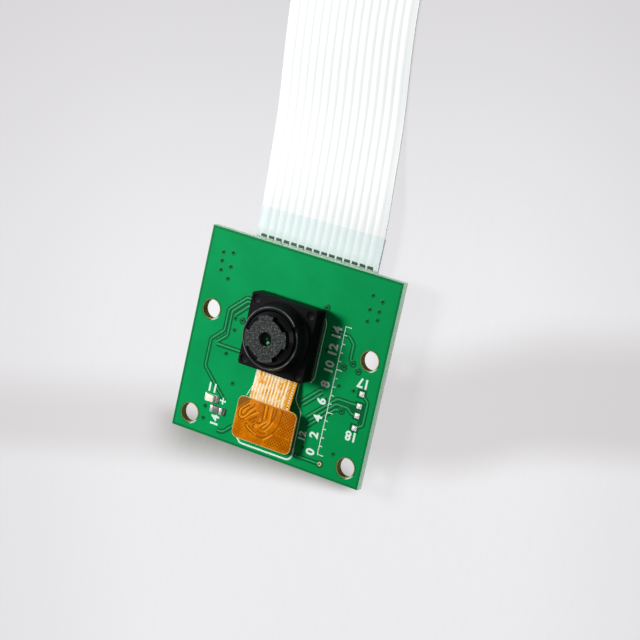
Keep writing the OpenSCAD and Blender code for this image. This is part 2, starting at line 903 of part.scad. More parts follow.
module far_stiffener() {
    stiffener(far_end.x - stiffener_l, far_end.y - cable_t / 2);
}

// ---- parts on the board's back ----

module oscillator_base() {
    color("tan")
        on_back(osc_at.x, osc_at.y)
            block(osc_w, osc_l, osc_base_h);
}

module oscillator_lid() {
    rim = 0.2;
    color("silver")
        on_back(osc_at.x, osc_at.y)
            translate([0, 0, osc_base_h])
                linear_extrude(osc_lid_h)
                    rounded_rectangle(osc_w - 2 * rim, osc_l - 2 * rim, 0.3);
}

// A moulded body, widest where its leads come out
module regulator(at) {
    draft = 0.08;
    middle = reg_h * 0.5;
    color([0.13, 0.13, 0.14])
        on_back(at.x, at.y, at.z)
            across_x(reg_w)
                polygon([
                    [draft - reg_l / 2, stand_off], [reg_l / 2 - draft, stand_off],
                    [reg_l / 2, middle], [reg_l / 2 - draft, reg_h],
                    [draft - reg_l / 2, reg_h], [-reg_l / 2, middle]
                ]);
}

// Gull-wing leads: two on one side and three on the other
module regulator_leads(at) {
    middle = reg_h * 0.5;
    color("silver")
        on_back(at.x, at.y, at.z)
            for (lead = [[-1, 1], [1, 1], [-1, -1], [0, -1], [1, -1]])
                translate([lead.x * lead_pitch, 0, 0])
                    across(reg_lead_w)
                        gull_wing(lead.y, reg_w / 2, middle);
}

// One lead from the body's side down to its foot
module gull_wing(side, edge, middle) {
    bend = edge + lead_bend;
    polygon([
        [side * edge, middle + lead_t / 2],
        [side * bend, middle + lead_t / 2],
        [side * (bend + lead_slope * 0.7), middle],
        [side * (bend + lead_slope), lead_t],
        [side * (edge + lead_reach), lead_t],
        [side * (edge + lead_reach), 0],
        [side * (bend + lead_slope / 3), 0],
        [side * (bend - lead_slope / 7), middle - lead_t / 2],
        [side * edge, middle - lead_t / 2]
    ]);
}

module capacitor(at) {
    color("burlywood")
        on_back(at[0], at[1], at[2])
            chip(at[3]);
}

module resistor(at) {
    color([0.16, 0.16, 0.18])
        on_back(at[0], at[1], at[2])
            chip([at[3].x, at[3].y, at[3].z * 0.7]);
}

module ferrite(at) {
    color([0.35, 0.34, 0.33])
        on_back(at[0], at[1], at[2])
            chip(at[3]);
}

// ---- drawing ----

board();
bare_pads();
foam_pad();
head_plate();
flex_tail();
sensor_substrate();
image_sensor();
lens_housing();
infrared_filter();
lens_barrel();
lens_baffles();
lens_retainer();
tail_plate();
flex_plug();
plug_pins();
receptacle();
receptacle_pins();
lamp_base();
lamp_top();
led_resistor();
ribbon_connector();
connector_contacts();
connector_tabs();
connector_latch();
ribbon_cable();
near_stiffener();
near_conductors();
far_stiffener();
far_conductors();
oscillator_base();
oscillator_lid();
for (i = [0 : lens_count - 1])
    lens_at(i);
for (i = [1 : len(regulators)]) {
    regulator(regulators[i - 1]);
    regulator_leads(regulators[i - 1]);
}
for (i = [1 : len(capacitors)])
    capacitor(capacitors[i - 1]);
for (i = [1 : len(resistors)])
    resistor(resistors[i - 1]);
for (i = [1 : len(ferrites)])
    ferrite(ferrites[i - 1]);
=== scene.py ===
"""Dresses the camera module: a board with a lens head on a flex tail, and a flat ribbon cable.

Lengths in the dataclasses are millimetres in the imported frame: the origin is the middle of the
mounting holes on the board's front face, +Z points out of the lens and +Y runs along the cable.
"""

import logging
from collections.abc import Callable, Iterable, Sequence
from dataclasses import dataclass, field
from enum import Enum, IntEnum
from itertools import product
from math import atan2, cos, pi, radians, sin

import bmesh
import bpy
from mathutils import Euler, Matrix, Vector


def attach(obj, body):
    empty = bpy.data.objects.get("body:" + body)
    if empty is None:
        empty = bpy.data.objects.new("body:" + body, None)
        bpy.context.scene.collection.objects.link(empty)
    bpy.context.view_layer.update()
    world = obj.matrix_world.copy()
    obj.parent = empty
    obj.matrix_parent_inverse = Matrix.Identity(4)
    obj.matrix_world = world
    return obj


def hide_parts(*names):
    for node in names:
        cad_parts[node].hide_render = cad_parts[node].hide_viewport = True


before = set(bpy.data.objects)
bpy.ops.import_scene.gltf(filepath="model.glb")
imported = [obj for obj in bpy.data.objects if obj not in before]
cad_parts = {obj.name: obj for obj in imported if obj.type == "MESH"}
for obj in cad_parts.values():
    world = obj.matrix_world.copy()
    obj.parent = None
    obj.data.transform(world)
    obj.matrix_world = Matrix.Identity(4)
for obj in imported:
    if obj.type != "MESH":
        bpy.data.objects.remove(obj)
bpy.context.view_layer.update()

MM = 0.001
HOLES = (10.5, 6.25)
HEAD = (0.0, 6.15)
BACK_Z = -1.0
MIDDLE_Y = 3.75

Point = tuple[float, float]
Size = tuple[float, float, float]
Colour = tuple[float, float, float, float]
Socket = bpy.types.NodeSocket
Piece = bpy.types.Object
Material = bpy.types.Material
log = logging.getLogger("camera_module")


def at(x: float, y: float, z: float = 0.0) -> Vector:
    """A place given in millimetres, in metres."""
    return Vector((x, y, z)) * MM


def paint(red: int, green: int, blue: int) -> Colour:
    """Turns a colour as a display shows it into the linear colour that a shader takes.

    Args:
        red, green, blue: Levels from 0 to 255.

    Returns:
        The linear colour with full alpha.
    """
    levels = []
    for level in (red, green, blue):
        share = level / 255
        levels.append(share / 12.92 if share <= 0.04045 else ((share + 0.055) / 1.055) ** 2.4)
    return (*levels, 1.0)


def moved(x: float, y: float, z: float = 0.0) -> Matrix:
    """A move by a distance in millimetres."""
    return Matrix.Translation(at(x, y, z))


def turned(x: float = 0.0, y: float = 0.0, z: float = 0.0) -> Matrix:
    """A turn about the three axes, in degrees."""
    return Euler((radians(x), radians(y), radians(z))).to_matrix().to_4x4()


# ---- Named options ----


class Body(Enum):
    """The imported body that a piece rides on."""

    MODULE = "module"
    LATCH = "latch"


class Side(IntEnum):
    """A face of the board, with the sign of the way that it points along Z."""

    FRONT = 1
    BACK = -1


class Part(Enum):
    """What is selected in edit mode: its mode's name, and its list's name as the value."""

    VERT = "verts"
    EDGE = "edges"
    FACE = "faces"


class ChipKind(Enum):
    """What a ceramic chip part is, with the name of its material slot."""

    CAPACITOR = "chip_ceramic"
    RESISTOR = "resistor_body"
    FERRITE = "ferrite_body"


class Sum(Enum):
    """The arithmetic that a material's graph uses."""

    TIMES = "MULTIPLY"
    PLUS = "ADD"
    MINUS = "SUBTRACT"
    OVER = "DIVIDE"
    SCALED = "MULTIPLY_ADD"
    MOST = "MAXIMUM"
    SIZE = "ABSOLUTE"
    ROOT = "SQRT"
    FRACTION = "FRACT"


# ---- Finishes ----


class Graph:
    """A node material that is put together one node at a time."""

    def __init__(self, name: str) -> None:
        """Starts the material with its shader and the object's own coordinates.

        Args:
            name: The material's name.
        """
        self.material = bpy.data.materials.new(name)
        self.material.use_nodes = True
        self.tree = self.material.node_tree
        self.shader = self.tree.nodes["Principled BSDF"]
        self.place = self.add("ShaderNodeTexCoord").outputs["Object"]

    def add(self, kind: str, **settings: object) -> bpy.types.Node:
        """Adds a node and gives it its settings.

        Args:
            kind: The node's type.
            settings: Its settings by name.

        Returns:
            The node.
        """
        node = self.tree.nodes.new(kind)
        for key, value in settings.items():
            setattr(node, key, value)
        return node

    def feed(self, socket: Socket, value: object) -> None:
        """Links a socket to another one, or sets its value."""
        if isinstance(value, Socket):
            self.tree.links.new(value, socket)
        else:
            socket.default_value = value

    def work(self, operation: Sum, *values: object) -> Socket:
        """Works out one step of arithmetic.

        Args:
            operation: What is done with the values.
            values: Numbers or sockets, in order.

        Returns:
            The socket that holds the result.
        """
        node = self.add("ShaderNodeMath", operation=operation.value)
        for socket, value in zip(node.inputs, values):
            self.feed(socket, value)
        return node.outputs[0]

    def preset(self, node: bpy.types.Node, **values: object) -> None:
        """Sets or links a node's sockets by name, with underscores for spaces."""
        for key, value in values.items():
            self.feed(node.inputs[key.replace("_", " ")], value)

    def times(self, first: object, second: object) -> Socket:
        """The product of two values."""
        return self.work(Sum.TIMES, first, second)

    def plus(self, first: object, second: object) -> Socket:
        """The sum of two values."""
        return self.work(Sum.PLUS, first, second)

    def minus(self, first: object, second: object) -> Socket:
        """The first value less the second."""
        return self.work(Sum.MINUS, first, second)

    def scaled(self, value: object, factor: object, start: object) -> Socket:
        """The value times a factor, plus a start."""
        return self.work(Sum.SCALED, value, factor, start)

    def most(self, first: object, second: object) -> Socket:
        """The larger of two values."""
        return self.work(Sum.MOST, first, second)

    def size(self, value: object) -> Socket:
        """The value without its sign."""
        return self.work(Sum.SIZE, value)

    def axis(self, index: int, place: Socket | None = None) -> Socket:
        """One coordinate of the place, in metres: 0 for X, 1 for Y and 2 for Z.

        Args:
            index: 0 for X, 1 for Y and 2 for Z.
            place: The place that is read, if not the object's own.

        Returns:
            The coordinate's socket.
        """
        node = self.add("ShaderNodeSeparateXYZ")
        self.feed(node.inputs[0], place or self.place)
        return node.outputs[index]

    def facing(self, index: int) -> Socket:
        """How far the surface faces along one axis, from 0 to 1 whichever way it points."""
        normal = self.add("ShaderNodeTexCoord").outputs["Normal"]
        return self.size(self.axis(index, normal))

    def stretched(self, scale: Sequence[float], turn: float = 0.0) -> Socket:
        """The place with each axis scaled, and turned about Z by an angle in degrees.

        Args:
            scale: The factor along each axis.
            turn: The angle in degrees.

        Returns:
            The place's socket.
        """
        node = self.add("ShaderNodeMapping")
        self.preset(node, Vector=self.place, Scale=scale, Rotation=(0, 0, radians(turn)))
        return node.outputs[0]

    def noise(
        self, grain: float, detail: float = 2.0, rough: float = 0.5, place: Socket | None = None
    ) -> Socket:
        """Cloudy noise whose lumps are about as wide as the grain, in millimetres.

        Args:
            grain: Width of a lump in millimetres.
            detail: How many finer layers are added.
            rough: How strong the finer layers are.
            place: The place that is read, if not the object's own.

        Returns:
            The noise as a value from 0 to 1.
        """
        node = self.add("ShaderNodeTexNoise")
        self.preset(node, Vector=place or self.place, Scale=1 / (grain * MM))
        self.preset(node, Detail=detail, Roughness=rough)
        return node.outputs["Fac"]

    def cells(self, grain: float, place: Socket | None = None) -> Socket:
        """Distance to the nearest of scattered points that lie a grain apart.

        Args:
            grain: Distance between the points in millimetres.
            place: The place that is read, if not the object's own.

        Returns:
            The distance as a share of the grain.
        """
        node = self.add("ShaderNodeTexVoronoi")
        self.preset(node, Vector=place or self.place, Scale=1 / (grain * MM))
        return node.outputs["Distance"]

    def stripes(self, value: Socket, pitch: float, share: float) -> Socket:
        """Stripes across a coordinate: 1 on each stripe, 0 between, with one stripe at zero.

        Args:
            value: The coordinate in metres.
            pitch: Distance between stripes in millimetres.
            share: The stripe's share of the pitch.

        Returns:
            The stripes as a value from 0 to 1.
        """
        turns = self.scaled(value, 1 / (pitch * MM), 0.5)
        off = self.size(self.minus(self.work(Sum.FRACTION, turns), 0.5))
        return self.step(off, share / 2 + 0.06, share / 2 - 0.06)

    def step(self, value: object, low: float, high: float) -> Socket:
        """Goes smoothly from 0 where the value is low to 1 where it is high.

        Args:
            value: The value that is looked at.
            low: Where the result is 0.
            high: Where the result is 1.

        Returns:
            A value from 0 to 1.
        """
        node = self.add("ShaderNodeMapRange", interpolation_type="SMOOTHSTEP")
        self.preset(node, Value=value, From_Min=min(low, high), From_Max=max(low, high))
        self.preset(node, To_Min=float(low > high), To_Max=float(low <= high))
        return node.outputs["Result"]

    def ramp(self, value: object, low: float, high: float) -> Socket:
        """A step between two lengths in millimetres."""
        return self.step(value, low * MM, high * MM)

    def off(self, axis: int, place: float) -> Socket:
        """Distance along one axis from a place in millimetres, with its sign."""
        return self.minus(self.axis(axis), place * MM)

    def blend(self, share: object, first: object, second: object) -> Socket:
        """Mixes two colours, the second in the share given.

        Args:
            share: The second colour's share.
            first: The colour at a share of 0.
            second: The colour at a share of 1.

        Returns:
            The mixed colour's socket.
        """
        node = self.add("ShaderNodeMix", data_type="RGBA")
        self.feed(node.inputs[0], share)
        self.feed(node.inputs[6], first)
        self.feed(node.inputs[7], second)
        return node.outputs[2]

    def coat(self, base: object, colour: object, where: object, share: object) -> Socket:
        """Lays a colour over another, in a share of where the mask is."""
        return self.blend(self.times(where, share), base, colour)

    def relief(self, height: object, depth: float, strength: float = 1.0) -> None:
        """Gives the surface a relief of the depth, in millimetres, from a height of 0 to 1.

        Args:
            height: The relief from 0 to 1.
            depth: How deep it is in millimetres.
            strength: How strongly it is lit.
        """
        node = self.add("ShaderNodeBump")
        self.preset(node, Height=height, Distance=depth * MM, Strength=strength)
        self.feed(self.shader.inputs["Normal"], node.outputs[0])

    def finish(self, **values: object) -> None:
        """Sets the shader's sockets by name, with underscores for spaces."""
        self.preset(self.shader, **values)


class Finish:
    """A finish that makes its material once and hands out the same one after that."""

    _made: dict[str, Material] = {}
    name: str

    def fill(self, g: Graph) -> None:
        """Fills the material's graph."""
        raise NotImplementedError

    def material(self) -> Material:
        """The finish's material, made on first use."""
        if self.name not in Finish._made:
            graph = Graph(self.name)
            self.fill(graph)
            Finish._made[self.name] = graph.material
        return Finish._made[self.name]


@dataclass(frozen=True)
class SolderMask(Finish):
    """Green mask over the board's two faces with painted shade towards the right, and bare glass laminate
    on its edges and holes, painted darker brown inside the holes as their shade.
    """

    name: str = "solder_mask"
    green: Colour = paint(3, 160, 88)
    deep: Colour = paint(1, 147, 78)
    glass: Colour = paint(236, 255, 238)
    resin: Colour = paint(212, 248, 220)
    wall: Colour = paint(140, 124, 54)
    roughness: float = 0.42

    def fill(self, g: Graph) -> None:
        """Mottled mask where the surface faces up or down, fibre layers where it faces out; painted shade
        darkens the mask towards the right and the holes' walls.

        Args:
            g: The material's graph.
        """
        mottle = g.step(g.noise(4.5, 3, 0.55), 0.36, 0.66)
        fine = g.noise(0.22, 2)
        mask = g.coat(self.green, self.deep, mottle, 0.6)
        # Painted shade: the mask is darker towards the right.
        shade_to_right = g.ramp(g.scaled(g.axis(1), -0.3, g.axis(0)), -9, 12)
        mask = g.coat(mask, paint(1, 138, 70), shade_to_right, 0.6)
        mask = g.coat(mask, paint(14, 168, 98), g.step(fine, 0.45, 0.75), 0.1)
        layers = g.noise(0.12, 2, 0.6, g.stretched((0.14, 0.14, 1.6)))
        strands = g.noise(0.05, 1, 0.5, g.stretched((1, 1, 0.2)))
        edge = g.blend(g.step(layers, 0.36, 0.62), self.resin, self.glass)
        edge = g.coat(edge, paint(226, 220, 200), g.step(strands, 0.5, 0.7), 0.3)
        lip = g.ramp(g.axis(2), -0.5, -0.4)
        edge = g.coat(edge, paint(196, 248, 216), lip, 0.8)
        off_x, off_y = g.size(g.axis(0)), g.size(g.off(1, MIDDLE_Y))
        bored = g.times(g.ramp(off_x, 12.4, 12.3), g.ramp(off_y, 11.9, 11.8))
        # Painted shade: the laminate inside the mounting holes is painted darker brown.
        edge = g.coat(edge, self.wall, bored, 0.95)
        flat = g.step(g.facing(2), 0.35, 0.65)
        weave = g.plus(g.stripes(g.axis(0), 0.42, 0.5), g.stripes(g.axis(1), 0.5, 0.5))
        height = g.scaled(weave, 0.12, g.times(fine, 0.6))
        inside = g.times(bored, g.minus(1.0, flat))
        height = g.times(height, g.scaled(inside, -0.85, 1.0))
        g.relief(height, 0.008, 0.55)
        g.finish(
            Base_Color=g.blend(flat, edge, mask), Roughness=g.scaled(flat, self.roughness - 0.8, 0.8),
            Specular_IOR_Level=0.03,
        )


@dataclass(frozen=True)
class HoleRim(Finish):
    """The mask's thick edge round a mounting hole: dark, with a painted highlight on its lower right side.
    """

    name: str = "mask_round_hole"
    hole_x: float = HOLES[0]
    hole_y: float = HOLES[1]
    dark: Colour = paint(2, 112, 60)
    light: Colour = paint(200, 246, 222)
    brim: Colour = paint(182, 158, 96)

    def off_centre(self, g: Graph, axis: int, reach: float) -> Socket:
        """Distance from the nearest hole's middle along one axis."""
        side = g.ramp(g.axis(axis), -1, 1)
        return g.plus(g.axis(axis), g.scaled(side, -2 * reach * MM, reach * MM))

    def fill(self, g: Graph) -> None:
        """Dark mask, tan at the hole's brim, stronger to the right as painted light, and a painted
        highlight along the lower right of each ring.

        Args:
            g: The material's graph.
        """
        x, y = self.off_centre(g, 0, self.hole_x), self.off_centre(g, 1, self.hole_y)
        down = g.scaled(x, 0.6, g.times(y, -0.8))
        radius = g.work(Sum.ROOT, g.scaled(x, x, g.times(y, y)))
        fine = g.noise(0.2, 2)
        g.relief(fine, 0.006, 0.5)
        tone = g.coat(self.dark, paint(6, 130, 72), fine, 0.3)
        # Painted light: the brim's tan is stronger on the right of each hole.
        lit = g.scaled(g.ramp(x, -0.7, 0.5), 0.5, 0.4)
        tone = g.coat(tone, self.brim, g.ramp(radius, 1.21, 1.16), lit)
        # Painted highlight: a pale crescent along the lower right of each ring.
        tone = g.blend(g.ramp(down, 1.08, 1.2), tone, self.light)
        g.finish(Base_Color=tone, Roughness=0.4, Specular_IOR_Level=0.05)


@dataclass(frozen=True)
class MaskedCopper(Finish):
    """Mask over etched copper or over the bare gap beside it, a little lighter or darker."""

    name: str
    colour: Colour
    roughness: float = 0.3
    mottle: float = 0.3

    def fill(self, g: Graph) -> None:
        """The mask's colour with the same fine mottle as the board's.

        Args:
            g: The material's graph.
        """
        fine = g.noise(0.3, 3)
        tone = g.coat(self.colour, paint(2, 104, 54), g.step(fine, 0.35, 0.7), self.mottle)
        g.relief(fine, 0.006, 0.5)
        g.finish(Base_Color=tone, Roughness=self.roughness, Specular_IOR_Level=0.08)


@dataclass(frozen=True)
class Ink(Finish):
    """Printed ink, thin at its edges, so the board's green shows through a little."""

    name: str = "white_ink"
    colour: Colour = paint(228, 248, 236)
    thin: Colour = paint(168, 224, 192)

    def fill(self, g: Graph) -> None:
        """White with faint grains of the mask below.

        Args:
            g: The material's graph.
        """
        grains = g.step(g.noise(0.07, 2), 0.52, 0.72)
        g.relief(g.noise(0.06, 1), 0.006, 0.6)
        g.finish(
            Base_Color=g.coat(self.colour, self.thin, grains, 0.7), Roughness=0.62, Specular_IOR_Level=0.25
        )


@dataclass(frozen=True)
class Moulding(Finish):
    """A moulded plastic: its colour, a fine grain, and a few lighter specks of filler."""

    name: str
    colour: Colour
    speck: Colour
    roughness: float = 0.42
    grain: float = 0.09
    depth: float = 0.01
    speck_share: float = 0.25
    shine: float = 0.4

    def fill(self, g: Graph) -> None:
        """Grain in the relief, specks in the colour, and a roughness that wanders.

        Args:
            g: The material's graph.
        """
        fine = g.noise(self.grain, 3, 0.6)
        broad = g.noise(self.grain * 22, 2)
        specks = g.step(g.cells(self.grain * 1.6), 0.3, 0.12)
        share = g.times(specks, g.times(g.step(fine, 0.4, 0.65), self.speck_share))
        tone = g.blend(share, self.colour, self.speck)
        tone = g.coat(tone, self.speck, g.step(broad, 0.35, 0.7), 0.18)
        g.relief(fine, self.depth, 0.8)
        g.finish(
            Base_Color=tone, Roughness=g.scaled(fine, 0.16, self.roughness - 0.08),
            Specular_IOR_Level=self.shine,
        )


@dataclass(frozen=True)
class HousingFinish(Finish):
    """The lens housing's satin black moulding, with painted shade on its right side and a painted
    highlight along its tower's rim.
    """

    name: str = "housing_plastic"
    centre: Point = HEAD
    rim_z: float = 4.4
    rim_r: float = 3.5
    colour: Colour = paint(15, 15, 18)
    speck: Colour = paint(34, 34, 38)
    worn: Colour = paint(120, 122, 126)

    def fill(self, g: Graph) -> None:
        """Near black with a fine grain; painted shade darkens its right side, and a painted highlight in
        patches runs along the tower's outer edge.

        Args:
            g: The material's graph.
        """
        fine = g.noise(0.16, 3, 0.6)
        tone = g.coat(self.colour, self.speck, g.step(fine, 0.45, 0.7), 0.45)
        x, y = g.off(0, self.centre[0]), g.off(1, self.centre[1])
        reach = g.work(Sum.ROOT, g.plus(g.times(x, x), g.times(y, y)))
        # Painted highlight: a paler line, in patches, round the tower's rim.
        edge = g.ramp(reach, self.rim_r - 0.14, self.rim_r - 0.05)
        edge = g.times(edge, g.ramp(g.axis(2), self.rim_z - 0.09, self.rim_z - 0.03))
        sheen_patches = g.scaled(g.step(g.noise(1.3, 2), 0.38, 0.62), 0.55, 0.35)
        # Painted shade: the housing is darker towards its right side.
        tone = g.blend(g.ramp(g.axis(0), -0.5, 3.2), tone, paint(6, 6, 7))
        tone = g.coat(tone, self.worn, edge, sheen_patches)
        g.relief(fine, 0.01, 0.7)
        g.finish(Base_Color=tone, Roughness=0.4, Specular_IOR_Level=0.05)


@dataclass(frozen=True)
class BarrelFace(Finish):
    """The lens barrel: glossy black sides under a turned, spark-textured grey face whose lighter grains
    are partly painted glint.
    """

    name: str = "barrel_finish"
    centre: Point = HEAD
    face_z: float = 5.45
    side: Colour = paint(3, 3, 4)
    face: Colour = paint(58, 62, 60)
    spark: Colour = paint(140, 146, 142)

    def fill(self, g: Graph) -> None:
        """Grey and grainy on top of the face, its lighter grains partly painted glint; black and smooth
        everywhere else.

        Args:
            g: The material's graph.
        """
        up = g.step(g.facing(2), 0.7, 0.9)
        high = g.ramp(g.axis(2), self.face_z - 0.05, self.face_z - 0.02)
        top = g.times(up, high)
        fine = g.noise(0.17, 2, 0.6)
        pits = g.step(g.noise(0.3, 2), 0.4, 0.58)
        tone = g.coat(self.face, paint(27, 30, 29), pits, 0.8)
        # Lighter grains of the spark-eroded face, partly painted glint.
        grain_and_glint = g.step(fine, 0.58, 0.68)
        tone = g.coat(tone, self.spark, grain_and_glint, 0.8)
        g.relief(g.times(fine, top), 0.05, 0.9)
        g.finish(
            Base_Color=g.blend(top, self.side, tone), Roughness=g.scaled(top, 0.3, 0.24),
            Specular_IOR_Level=0.1,
        )


@dataclass(frozen=True)
class Plating(Finish):
    """A metal surface: dull solder, tin plate, gold flash, a gilt via or a stamped lid."""

    name: str
    colour: Colour
    dull: Colour
    roughness: float = 0.3
    grain: float = 0.18
    depth: float = 0.01
    metal: float = 1.0

    def fill(self, g: Graph) -> None:
        """Metal whose colour and polish wander with its grain.

        Args:
            g: The material's graph.
        """
        patch = g.noise(self.grain, 3, 0.6)
        g.relief(patch, self.depth, 0.7)
        g.finish(
            Base_Color=g.blend(g.step(patch, 0.35, 0.7), self.colour, self.dull), Metallic=self.metal,
            Roughness=g.scaled(patch, 0.3, self.roughness - 0.12),
        )


@dataclass(frozen=True)
class Ceramic(Finish):
    """Fired ceramic or filled resin of a small part, slightly uneven and faintly glossy."""

    name: str
    colour: Colour
    dark: Colour
    roughness: float = 0.42
    grain: float = 0.12

    def fill(self, g: Graph) -> None:
        """Two close tones in soft lumps, with a shallow relief.

        Args:
            g: The material's graph.
        """
        lumps = g.noise(self.grain, 3, 0.6)
        g.relief(lumps, 0.012, 0.7)
        g.finish(
            Base_Color=g.blend(g.step(lumps, 0.35, 0.68), self.colour, self.dark),
            Roughness=self.roughness, Specular_IOR_Level=0.45,
        )


@dataclass(frozen=True)
class Polyimide(Finish):
    """Amber coverlay over etched copper, glossy and a little translucent."""

    name: str
    colour: Colour = paint(240, 162, 12)
    shade: Colour = paint(216, 130, 5)
    roughness: float = 0.3
    shine: float = 0.06
    rails: float = 0.0

    def fill(self, g: Graph) -> None:
        """Amber in soft clouds; where rails are asked for, painted highlight streaks run along them in
        patches, with painted glare, darker blots and a pale line by the stitching.

        Args:
            g: The material's graph.
        """
        cloud = g.step(g.noise(0.9, 3), 0.35, 0.7)
        tone = g.coat(self.colour, self.shade, cloud, 0.5)
        if self.rails:
            # Painted highlight: glare streaks along the copper rails in patches, and broad painted glare
            # on the neck.
            lit = g.stripes(g.plus(g.axis(0), 0.06 * MM), self.rails, 0.42)
            worn = g.step(g.noise(0.5, 3, 0.6, g.stretched((1, 0.5, 1))), 0.38, 0.48)
            inner = g.ramp(g.axis(0), 2.0, 1.9)
            glare = g.times(g.step(g.noise(0.9, 3, 0.6), 0.44, 0.56), inner)
            tone = g.coat(tone, paint(254, 226, 170), glare, 0.75)
            blot = g.times(g.step(g.noise(0.4, 2, 0.5, g.stretched((1, 0.6, 1))), 0.6, 0.68), inner)
            tone = g.coat(tone, paint(186, 112, 20), blot, 0.6)
            edge = g.ramp(g.size(g.off(0, 2.36)), 0.13, 0.08)
            share = g.times(g.times(lit, worn), inner)
            share = g.most(share, g.times(edge, 0.8))
            tone = g.coat(tone, paint(255, 244, 212), share, 0.92)
        fine = g.noise(0.12, 2, 0.5, g.stretched((1, 0.12, 1)))
        height = g.times(fine, 0.8)
        g.relief(height, 0.006, 0.6)
        g.finish(Base_Color=tone, Roughness=self.roughness, Specular_IOR_Level=self.shine)


@dataclass(frozen=True)
class TailTop(Finish):
    """The flex head's amber top, with a cross-hatched copper shield beside its tracks."""

    name: str = "tail_top"
    amber: Colour = paint(196, 106, 3)
    bright: Colour = paint(218, 126, 6)
    dark: Colour = paint(146, 74, 1)
    corner: Colour = paint(112, 80, 22)
    pitch: float = 0.285

    def fill(self, g: Graph) -> None:
        """Amber, hatched over the shield's two areas.

        Args:
            g: The material's graph.
        """
        cloud = g.step(g.noise(1.1, 2), 0.35, 0.65)
        tone = g.blend(cloud, self.amber, self.bright)
        turned = g.stretched((1, 1, 1), 45)
        first = g.stripes(g.axis(0, turned), self.pitch, 0.68)
        second = g.stripes(g.axis(1, turned), self.pitch, 0.68)
        holes = g.times(first, second)
        x, y = g.axis(0), g.axis(1)
        across = g.times(g.plus(x, 0.2 * MM), 1 / (2.2 * MM))
        along = g.times(g.plus(y, 3.5 * MM), 1 / (2.45 * MM))
        outer = g.scaled(across, across, g.times(along, along))
        right = g.times(g.step(outer, 1.0, 1.1), g.ramp(x, 0.3, 0.6))
        left = g.times(g.times(g.ramp(x, -2.3, -2.5), g.ramp(y, -4.7, -5.0)), 0.6)
        strip = g.times(g.ramp(x, -0.45, -0.55), g.ramp(x, -1.25, -1.1))
        strip = g.times(g.times(strip, g.ramp(y, -3.8, -3.6)), 0.5)
        shield = g.most(g.most(right, left), strip)
        shield = g.times(shield, g.ramp(y, -6.5, -6.35))
        band = g.ramp(g.size(g.plus(y, 5.05 * MM)), 0.16, 0.08)
        shield = g.times(shield, g.minus(1.0, band))
        tone = g.coat(tone, self.dark, g.times(holes, shield), 0.9)
        corner = g.ramp(g.scaled(x, -0.95, y), -0.1, 0.4)
        tone = g.coat(tone, self.corner, corner, 0.85)
        g.relief(g.scaled(g.times(holes, shield), -0.5, g.noise(0.3, 2)), 0.012, 0.7)
        g.finish(Base_Color=tone, Roughness=0.36, Specular_IOR_Level=0.02)


@dataclass(frozen=True)
class Glass(Finish):
    """Clear optical glass or resin with a coating's tint in its reflections."""

    name: str
    colour: Colour
    tint: Colour
    roughness: float = 0.03
    clear: float = 0.9

    def fill(self, g: Graph) -> None:
        """A clear body with a tinted gloss, and dust-fine changes in its polish.

        Args:
            g: The material's graph.
        """
        haze = g.noise(0.4, 2)
        g.finish(
            Base_Color=g.coat(self.colour, self.tint, haze, 0.4),
            Roughness=g.scaled(haze, 0.03, self.roughness - 0.01), Transmission_Weight=self.clear,
            Specular_Tint=self.tint, IOR=1.6,
        )


@dataclass(frozen=True)
class CoatedLens(Finish):
    """The front lens as seen through its aperture: a green-coated dish painted near black as the shade
    inside the barrel, with a painted green reflection at its middle.
    """

    name: str = "coated_lens"
    centre: Point = HEAD
    radius: float = 1.6
    glass: Colour = paint(2, 4, 3)
    coat: Colour = paint(110, 205, 150)

    def fill(self, g: Graph) -> None:
        """Near black as painted shade, with a dished relief whose reflections the coating tints green, and
        a painted green reflection at the middle.

        Args:
            g: The material's graph.
        """
        x, y = g.off(0, self.centre[0]), g.off(1, self.centre[1])
        square = g.plus(g.times(x, x), g.times(y, y))
        g.relief(g.work(Sum.OVER, square, 2 * self.radius * MM * MM), 1.0)
        # Painted reflection: green at the dish's middle; the rest is painted near black as shade.
        deep = g.ramp(g.work(Sum.ROOT, square), 0.04, 0.14)
        g.finish(
            Base_Color=g.blend(deep, paint(24, 120, 66), self.glass), Roughness=0.1,
            Specular_Tint=self.coat, IOR=1.28,
        )


@dataclass(frozen=True)
class Foam(Finish):
    """Black adhesive foam with open cells."""

    name: str = "foam_finish"
    colour: Colour = paint(34, 34, 36)

    def fill(self, g: Graph) -> None:
        """Dark with a cell in each grain.

        Args:
            g: The material's graph.
        """
        cells = g.cells(0.16)
        g.relief(cells, 0.05)
        g.finish(
            Base_Color=g.blend(g.step(cells, 0.2, 0.7), self.colour, paint(74, 74, 78)), Roughness=0.9
        )


